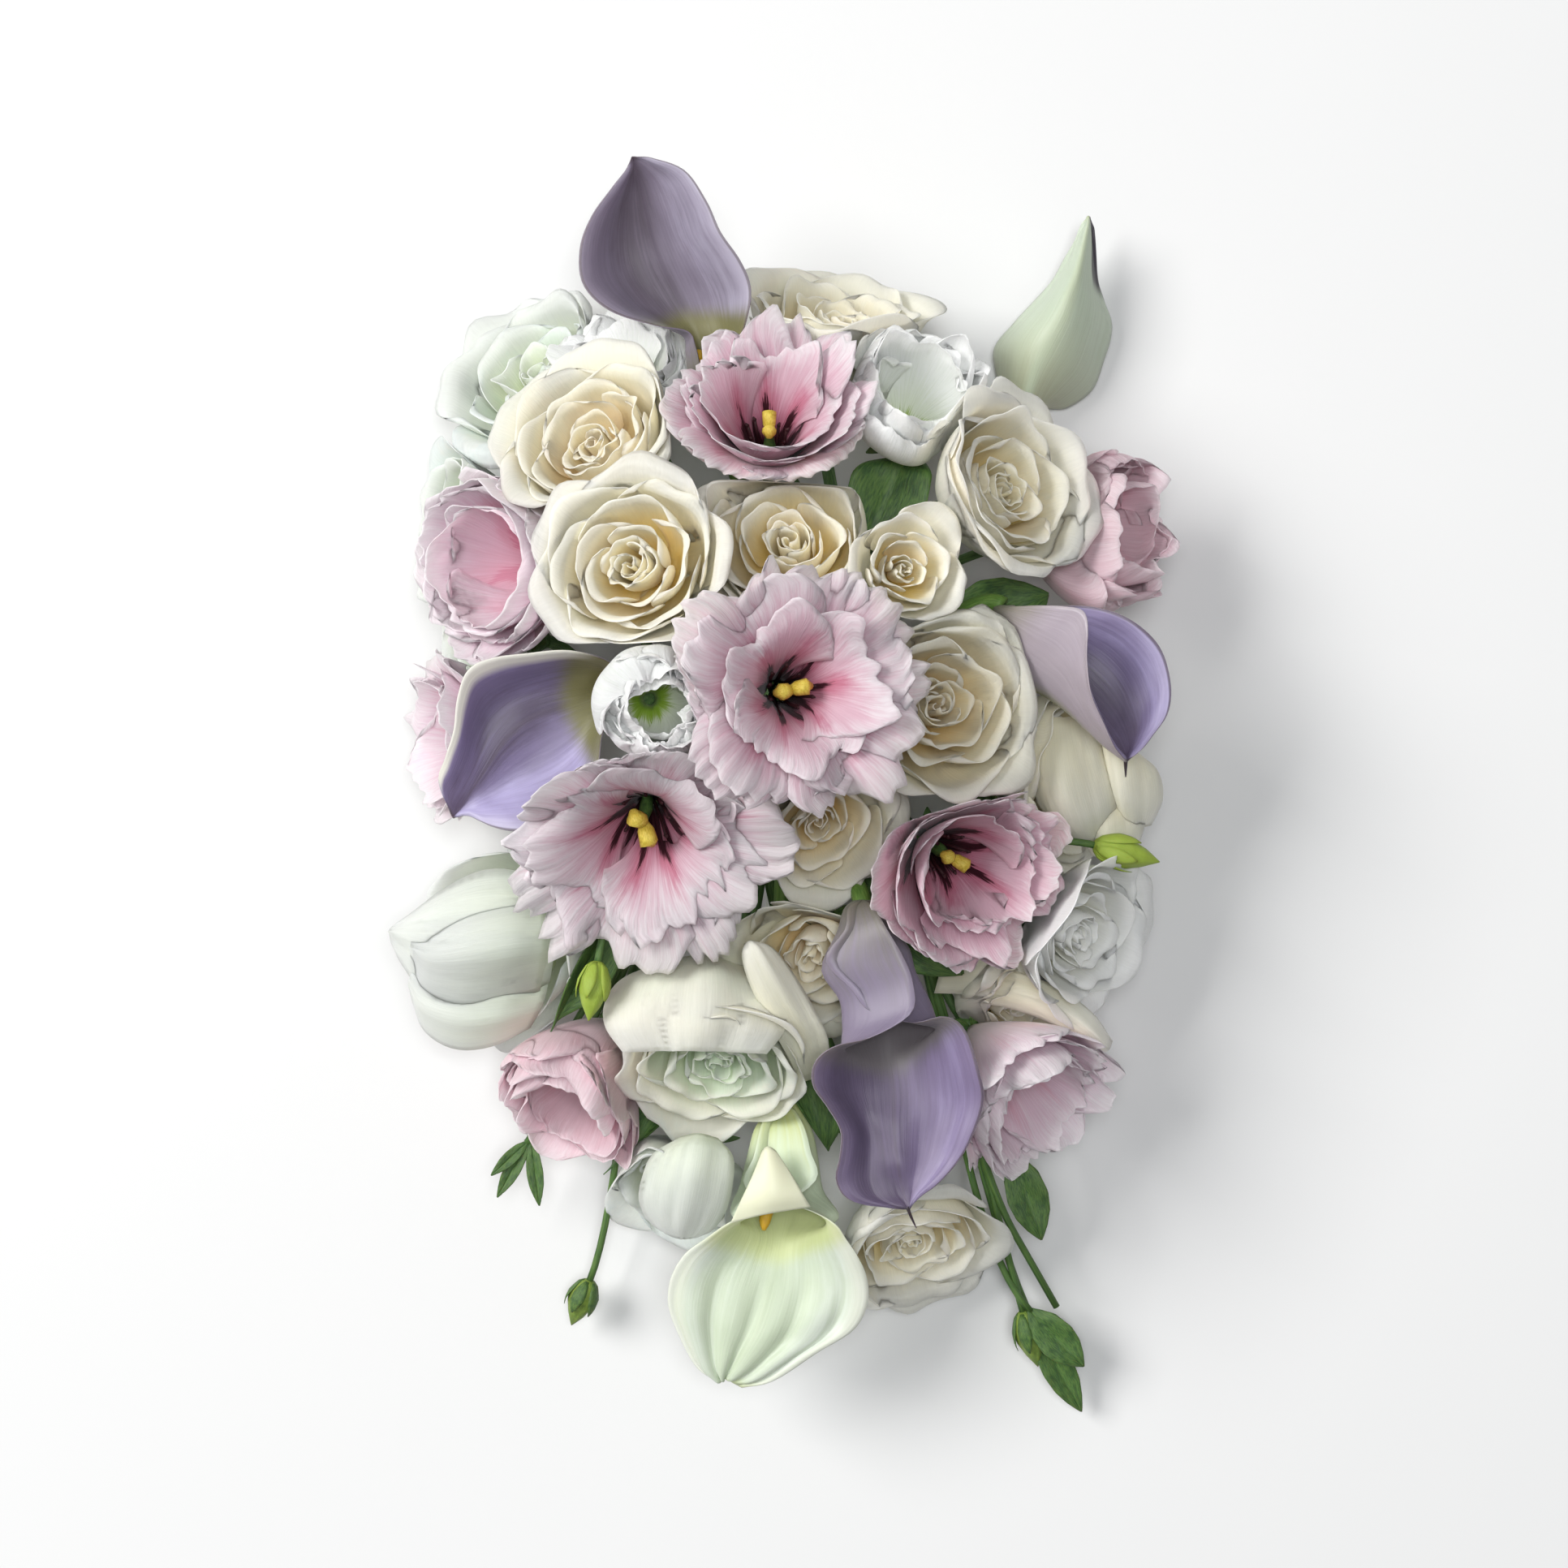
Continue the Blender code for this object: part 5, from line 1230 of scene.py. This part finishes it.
stems = {
    "radius": {"rose": 2.3, "lisianthus": 1.7, "calla": 3.2},
    "trunk": {"rose": 3.0, "lisianthus": 2.4},
    "lift": {"lisianthus_stem_left": 0.4, "rose_stem_left": -0.1, "calla_lilac_left_stem": -0.15,
             "rose_stem_tail": 0.06, "calla_lilac_tail_stem": -0.3},
    "inFoam": (0.5, 1.14),  # where a trunk starts and ends, as shares of the foam's radius
    "fork": 4.0,
    "spacing": 12.2,  # between the stems where they leave the foam
    "rounds": 200,  # of pushing the stems that far apart
    "bendOut": 0.28,
    "bendIn": 0.22,
    "shootAt": 7,  # the step of a branch's course where a side shoot leaves it
    "stalk": 1.3,
}
calyx = {
    "depth": 8.0,
    "notch": {"rose": 5.2, "lisianthus": 3.6},
    "tip": {"rose": 13.0, "lisianthus": 11.0},
    "sepals": 5,
    "sepalWidth": 2.6,
    "thick": 0.5,
}
bud = {
    "swell": ((0, 0.06, 0.3, 0.5, 0.75, 0.93, 1), (0.3, 0.62, 1.0, 0.96, 0.62, 0.2, 0.03)),
    "ridges": 5,
    "ridge": 0.07,
    "sepals": 5,
    "sepalLength": 0.62,  # share of the bud
    "thick": 0.45,
    "youngFrom": 60,  # a bud higher than this is a young, yellower one
    "tints": {True: 1.2, False: 0.7},
}
leaf = {
    "outline": ((0, 0.1, 0.25, 0.5, 0.7, 0.86, 0.96, 1), (0.12, 0.45, 0.85, 1.0, 0.84, 0.5, 0.18, 0.03)),
    "arch": 0.3,
    "dish": 0.28,
    "wave": 0.03,
    "vein": 0.12,
    "midrib": 0.27,
    "thick": 0.8,
    "tuckedFrom": 24,  # a leaf wider than this is pressed in behind the flowers
    "tuckSoft": 0.6,
}
sideShoots = {  # shape, branch, tip, foot, width
    "lisianthus_stem_tail_left": [
        ("bud", 0, (-66, -80, 88), (-63, -60, 86), 10),
        ("bud", 1, (-77, -196, 12), (-70, -179, 16), 10),
        ("leaf", 1, (-104, -139, 34), (-91, -127, 31), 5),
        ("leaf", 1, (-102, -147, 32), (-91, -127, 31), 6),
        ("leaf", 1, (-87, -150, 32), (-90, -127, 31), 6),
    ],
    "lisianthus_stem_tail_right": [
        ("bud", 0, (130, -27, 62), (107, -21, 64), 11),
        ("bud", 1, (92, -211, 12), (86, -190, 17), 10),
        ("leaf", 1, (108, -210, 17), (88, -189, 19), 14),
        ("leaf", 1, (108, -228, 8), (90, -194, 14), 12),
        ("stalk", 1, (98, -188, 20), (82, -160, 24), 3),
    ],
    "rose_stem_right_low": [
        ("leaf", 1, (92, -163, 26), (82, -132, 26), 15),
    ],
    "rose_stem_tail": [
        ("leaf", 0, (14, -130, 42), (2, -74, 50), 32),
        ("leaf", 1, (38, -142, 34), (26, -86, 44), 30),
        ("leaf", 2, (-62, -142, 30), (-34, -96, 36), 30),
    ],
    "rose_stem_middle": [
        ("leaf", 1, (-8, -98, 54), (10, -48, 48), 30),
        ("leaf", 1, (62, -66, 60), (26, -34, 58), 28),
    ],
    "rose_stem_upper_right": [
        ("leaf", 0, (46, 124, 66), (26, 78, 66), 28),
    ],
    "rose_stem_left": [
        ("leaf", 0, (-88, -84, 52), (-54, -36, 58), 28),
    ],
    "rose_stem_right": [
        ("leaf", 0, (92, 66, 56), (52, 48, 62), 28),
        ("leaf", 1, (94, -26, 56), (60, -2, 56), 28),
    ],
    "rose_stem_upper_left": [
        ("leaf", 1, (-78, 106, 44), (-40, 84, 50), 28),
    ],
}


def bendOf(start, startWay, end, endWay, steps=22):  # a course that leaves and arrives in given ways
    reach = np.linalg.norm(end - start)
    knots = [start, start + startWay * reach * stems["bendOut"], end - endWay * reach * stems["bendIn"], end]
    return np.stack(bezier(knots, np.linspace(0, 1, steps)), 1)


def stemPlans():  # where each trunk leaves the foam, kept apart from the others, and its branches' courses
    carried = dict(sprays)
    carried.update({name + "_stem": [name] for name in callas})
    feet, ways = {}, {}
    for name, heads in carried.items():
        drop = 0 if flowers[heads[0]].kind == "calla" else calyx["depth"] * 0.7
        feet[name] = [flowers[head].foot - flowers[head].axis * drop for head in heads]
        way = unit(sum(unit(foot - foam["centre"]) for foot in feet[name]))
        ways[name] = unit(way + (0, 0, stems["lift"].get(name, 0)))
    names, apart = list(ways), stems["spacing"] / foam["radius"]
    for _ in range(stems["rounds"]):
        for i, one in enumerate(names):
            for other in names[i + 1:]:
                between = ways[other] - ways[one]
                far = math.sqrt(between @ between)
                if far < apart:
                    push = between / far * (apart - far) / 2
                    ways[one] = unit(ways[one] - push)
                    ways[other] = unit(ways[other] + push)
    plans = {}
    for name, heads in carried.items():
        way = ways[name]
        fork = foam["centre"] + way * (foam["radius"] + stems["fork"])
        shares = np.linspace(*stems["inFoam"], 6)
        trunk = np.array([foam["centre"] + way * foam["radius"] * share for share in shares])
        branches = [bendOf(fork, way, foot, flowers[head].axis) for head, foot in zip(heads, feet[name])]
        plans[name] = (flowers[heads[0]].kind, trunk, branches, heads)
    return plans


def addCalyx(pile, flower, tint):
    notch, tip = calyx["notch"][flower.kind], calyx["tip"][flower.kind]
    neck = stems["radius"][flower.kind] * 1.1
    cup = [(neck, -calyx["depth"]), (neck * 1.2, -6.5), (notch * 0.8, -4.5), (notch, -2.4)]
    cup += [(notch * 0.9, -0.7), (0.5, -0.4)]
    pile.addTube(flower.world(turnedRings(cup, 16)), tint=tint)
    u, v = acrossAndAlong(7, 10)
    wide = calyx["sepalWidth"] * np.sin(math.pi * np.clip(0.18 + v * 0.8, 0, 1)) ** 0.8 * (tip / 12)
    reach = notch * 0.7 + (tip - notch * 0.7) * v + 0 * u
    height = -1.0 - 1.6 * v - 2.0 * v**2 + 0.5 * u**2 * (1 - v)
    side = wide * u
    for k in range(calyx["sepals"]):
        turn = fullTurn * (k + 0.5) / calyx["sepals"]
        x = reach * math.cos(turn) - side * math.sin(turn)
        y = reach * math.sin(turn) + side * math.cos(turn)
        sepal = flower.world(np.stack([x, y, height], 2))
        pile.addSheet(sepal, calyx["thick"], tint=tint + 0.1 * (k % 2))


def shootFrame(foot, tip):
    along = unit(tip - foot)
    side = unit(np.cross(along, (0, 0, 1)))
    return along, side, np.cross(side, along)


def addBud(pile, foot, tip, width, tint):  # a ridged closed bud in its sepals
    along, side, up = shootFrame(foot, tip)
    far = np.linalg.norm(tip - foot)
    shares = np.linspace(0, 1, 22)
    swell = width / 2 * np.interp(shares, *bud["swell"])
    rings = []
    angle = anglesOf(24)
    for share, reach in zip(shares, swell):
        ridge = bud["ridge"] * np.sin(bud["ridges"] * angle + 4.0 * share) * math.sin(math.pi * share)
        reach = reach * (1 + ridge)
        ring = np.outer(np.cos(angle) * reach, side) + np.outer(np.sin(angle) * reach, up)
        rings.append(foot + along * far * share + ring)
    pile.addTube(np.array(rings), tint=tint, across=np.abs(np.sin(bud["ridges"] / 2 * angle))[None, :])
    u, v = acrossAndAlong(5, 9)
    covered = bud["sepalLength"] * v
    for k in range(bud["sepals"]):
        around = fullTurn * k / bud["sepals"] + u * 0.5 * np.sin(math.pi * (0.25 + 0.72 * v))
        reach = np.interp(covered, shares, swell) + 0.5 + 0.9 * v**2
        grid = foot + along * (far * (0.02 + covered + 0 * u))[..., None]
        grid = grid + (reach * np.cos(around))[..., None] * side + (reach * np.sin(around))[..., None] * up
        pile.addSheet(grid, bud["thick"], tint=tint - 0.2)


def addLeaf(pile, foot, tip, width, tint):
    along, side, up = shootFrame(foot, tip)
    far = np.linalg.norm(tip - foot)
    u, v = acrossAndAlong(17, 28)
    wide = width / 2 * np.interp(v, *leaf["outline"])
    rise = width * leaf["arch"] * v * (1 - v) + np.abs(u) * wide * leaf["dish"]
    rise = rise + leaf["wave"] * width * np.sin(9 * v + 2 * u)
    rise = rise + leaf["vein"] * np.abs(np.sin(14 * v - 3.5 * np.abs(u)))
    rise = rise - leaf["midrib"] * np.exp(-((u / 0.09) ** 2))
    grid = foot + (far * v + 0 * u)[..., None] * along + (wide * u)[..., None] * side + rise[..., None] * up
    if width > leaf["tuckedFrom"]:
        for name in order:
            plane = dividingPlane(thinned[name], grid.reshape(-1, 3))
            grid = offPlane(plane, leaf["tuckSoft"])(grid) if plane else grid
        grid = offBall(grid)
    pile.addSheet(grid, leaf["thick"], tint=tint)


def bumps(angle, share):  # the grains of a spadix
    return 1 + 0.06 * np.sin(9 * angle + 40 * share) * np.sin(70 * share)


def spadixRings(name):
    foot, tip, radius = spathe["spadix"][name]
    shares = np.linspace(0, 1, 26)
    course = lerp(placed(*foot), placed(*tip), shares[:, None])
    radii = radius * np.interp(shares, *spathe["spadixSwell"])
    return ringsAlong(course, radii, 20, bumps)


def addShoot(pile, course, shape, tip, foot, width):  # a stalk that leaves a branch, with its bud or leaf
    tip, foot = np.array(tip, float), np.array(foot, float)
    ahead = unit(tip - foot)
    joint, beyond = course[stems["shootAt"]], course[stems["shootAt"] + 1]
    stalk = bendOf(joint, unit(beyond - joint), foot + ahead, ahead, 18)
    if shape == "stalk":
        stalk = np.concatenate([stalk, [tip]])
    pile.addTube(ringsAlong(stalk, [stems["stalk"]] * len(stalk), 10), tint=0.5)
    if shape == "bud":
        addBud(pile, foot, tip, width, bud["tints"][bool(foot[2] > bud["youngFrom"])])
    elif shape == "leaf":
        addLeaf(pile, foot, tip, width, 0.1)


for name, (kind, trunk, branches, heads) in stemPlans().items():
    pile = Pile()
    draw = random.Random(name)
    radius = stems["radius"][kind]
    if kind == "calla":
        course = np.concatenate([trunk[:-1], branches[0][1:]])
        pile.addTube(ringsAlong(course, [radius] * len(course), 20), tint=0.3)
        pile.addTube(spadixRings(heads[0]), 1, tint=0.5)
        pile.piece("green_" + name, ["calla_stem_green", "spadix_yellow"], name)
        continue
    pile.addTube(ringsAlong(trunk, [stems["trunk"][kind]] * len(trunk), 14), tint=0.2)
    for head, course in zip(heads, branches):
        node = np.exp(-((np.linspace(0, 1, len(course)) - draw.uniform(0.4, 0.6)) / 0.03) ** 2)
        rings = ringsAlong(course, radius * (1 + 0.10 * node), 14)
        pile.addTube(rings, tint=draw.uniform(0.1, 0.4))
        addCalyx(pile, flowers[head], draw.uniform(0.2, 0.5))
    for shape, branch, tip, foot, width in sideShoots.get(name, []):
        addShoot(pile, branches[branch], shape, tip, foot, width)
    pile.piece("green_" + name, ["stem_green"], name)
print("stems: made")

# Wet foam and its holder
crumb = {"rates": (9, 14, 22, 35, 50, 70), "sunk": 0.25, "rough": 0.9, "least": 35.2, "most": 36.3}
holder = {
    "wall": 1.7,
    "gap": 0.45,  # between the foam and the cup
    "rim": 126,  # how far down the ball the cup's rim is, in degrees from its top
    "bead": 0.5,
    "start": (0, 14, 14),
    "end": (0, -98, 10.2),
    "shares": (0.0, 0.5, 0.84, 0.89, 0.97, 1.0),
    "radii": (7.0, 6.3, 5.95, 11.0, 11.0, 9.0),
    "grip": (0.2, 0.8),  # the ribbed part, as shares of the handle
    "ribs": 16,
    "rib": 0.35,
}


def makeFoam():
    ball = bmesh.new()
    bmesh.ops.create_icosphere(ball, subdivisions=6, radius=1.0)
    points = np.array([vertex.co[:] for vertex in ball.verts])
    corners = np.array([[vertex.index for vertex in face.verts] for face in ball.faces])
    ball.free()
    draw = np.random.default_rng(7)
    rough = 0
    for rate in crumb["rates"]:
        rough = rough + np.sin(points @ draw.normal(0, rate, 3) + draw.uniform(0, 6)) / rate
    reach = foam["radius"] - crumb["sunk"] + crumb["rough"] * rough[:, None]
    pile = Pile()
    pile.addPoints(foam["centre"] + points * reach.clip(crumb["least"], crumb["most"]))
    flat = points[corners]
    uv = np.stack([np.arctan2(flat[..., 1], flat[..., 0]) / fullTurn + 0.5, flat[..., 2] / 2 + 0.5], 2)
    pile.addFaces(corners, uv, "whole")
    pile.cells = 1
    pile.piece("crumb_foam_ball", ["wet_foam"], "foam_ball")


def cupRings():  # the wall's inside up to the rim, over it, and down the outside
    inside = foam["radius"] + holder["gap"]
    outside = inside + holder["wall"]
    middle, bead = (inside + outside) / 2, holder["bead"]
    angles = np.radians(np.linspace(holder["rim"], 180, 22))
    profile = [(inside * math.sin(a), inside * math.cos(a)) for a in angles[-2::-1]]
    profile.append((middle * math.sin(angles[0]) + 0.4, middle * math.cos(angles[0]) + 0.5))
    profile += [((outside + bead) * math.sin(a), (outside + bead) * math.cos(a)) for a in angles[:2]]
    profile += [(outside * math.sin(a), outside * math.cos(a)) for a in angles[2:-1]]
    return turnedRings(profile, 64) + foam["centre"]


def handleRings():
    shares = np.concatenate([np.linspace(0, 0.84, 40), np.linspace(0.845, 1.0, 24)])
    course = np.outer(1 - shares, holder["start"]) + np.outer(shares, holder["end"])
    ribs = holder["rib"] * np.clip(np.sin(shares * fullTurn * holder["ribs"]), 0, 1)
    gripped = (shares > holder["grip"][0]) & (shares < holder["grip"][1])
    radii = np.interp(shares, holder["shares"], holder["radii"]) + ribs * gripped
    return ringsAlong(course, radii, 32)


makeFoam()
pile = Pile()
for rings, lowest in ((cupRings(), 0.02), (handleRings(), 0.0)):
    rings[..., 2] = np.maximum(rings[..., 2], lowest)
    pile.addTube(rings)
pile.piece("moulded_bouquet_holder", ["holder_plastic"], "bouquet_holder")
print("foam and holder: made")

# Floor, light and camera
studio = {
    "floor": (0.90, 0.90, 0.90),
    "floorSide": 3.0,
    "floorDrop": 0.0003,
    "world": (0.88, 0.89, 0.90, 1.0),
    "worldLight": 0.17,
    "key": {"place": (-2.4, 1.1, 2.5), "size": 1.8, "power": 128.0, "colour": (1.0, 0.99, 0.97)},
    "fill": {"place": (0.1, 0.2, 3.2), "size": 1.0, "power": 50.0, "colour": (0.96, 0.98, 1.0)},
    "camera": (-0.0013, 0.0038, 1.135),
    "lens": 71.2,
    "sensor": 36.0,
}


def floorFinish(wire, look):
    cloud = wire.noise(wire.node("TexCoord", {}, {}, "Object"), 3.0, 4.0)
    body = wire.mixed(cloud, look["floor"], tuple(c * 0.97 for c in look["floor"][:3]) + (1.0,))
    return {**skins["floor"], "Base Color": body, "Roughness": 0.6 + cloud * 0.1}


def show(name, data):
    made = bpy.data.objects.new(name, data)
    bpy.context.scene.collection.objects.link(made)
    return made


def areaLight(name):
    look = studio[name]
    data = bpy.data.lights.new(name, "AREA")
    data.shape = "SQUARE"
    data.size = look["size"]
    data.energy = look["power"]
    data.color = look["colour"]
    made = show(name, data)
    made.location = look["place"]
    made.rotation_euler = (-Vector(look["place"])).to_track_quat("-Z", "Y").to_euler()


mesh = bpy.data.meshes.new("floor")
side = studio["floorSide"]
mesh.from_pydata([(-side, -side, 0), (side, -side, 0), (side, side, 0), (-side, side, 0)], [], [(0, 1, 2, 3)])
mesh.materials.append(finishOf("pale_floor", floorFinish, {"floor": studio["floor"]}))
ground = show("floor", mesh)
ground.location.z = -studio["floorDrop"]
areaLight("key")
areaLight("fill")
world = bpy.data.worlds.new("studio")
world.use_nodes = True
world.node_tree.nodes["Background"].inputs["Color"].default_value = studio["world"]
world.node_tree.nodes["Background"].inputs["Strength"].default_value = studio["worldLight"]
bpy.context.scene.world = world
bpy.context.scene.view_settings.view_transform = "Standard"
lens = bpy.data.cameras.new("camera")
lens.lens = studio["lens"]
lens.sensor_width = studio["sensor"]
camera = show("camera", lens)
camera.location = studio["camera"]
bpy.context.scene.camera = camera
print("studio: lit")
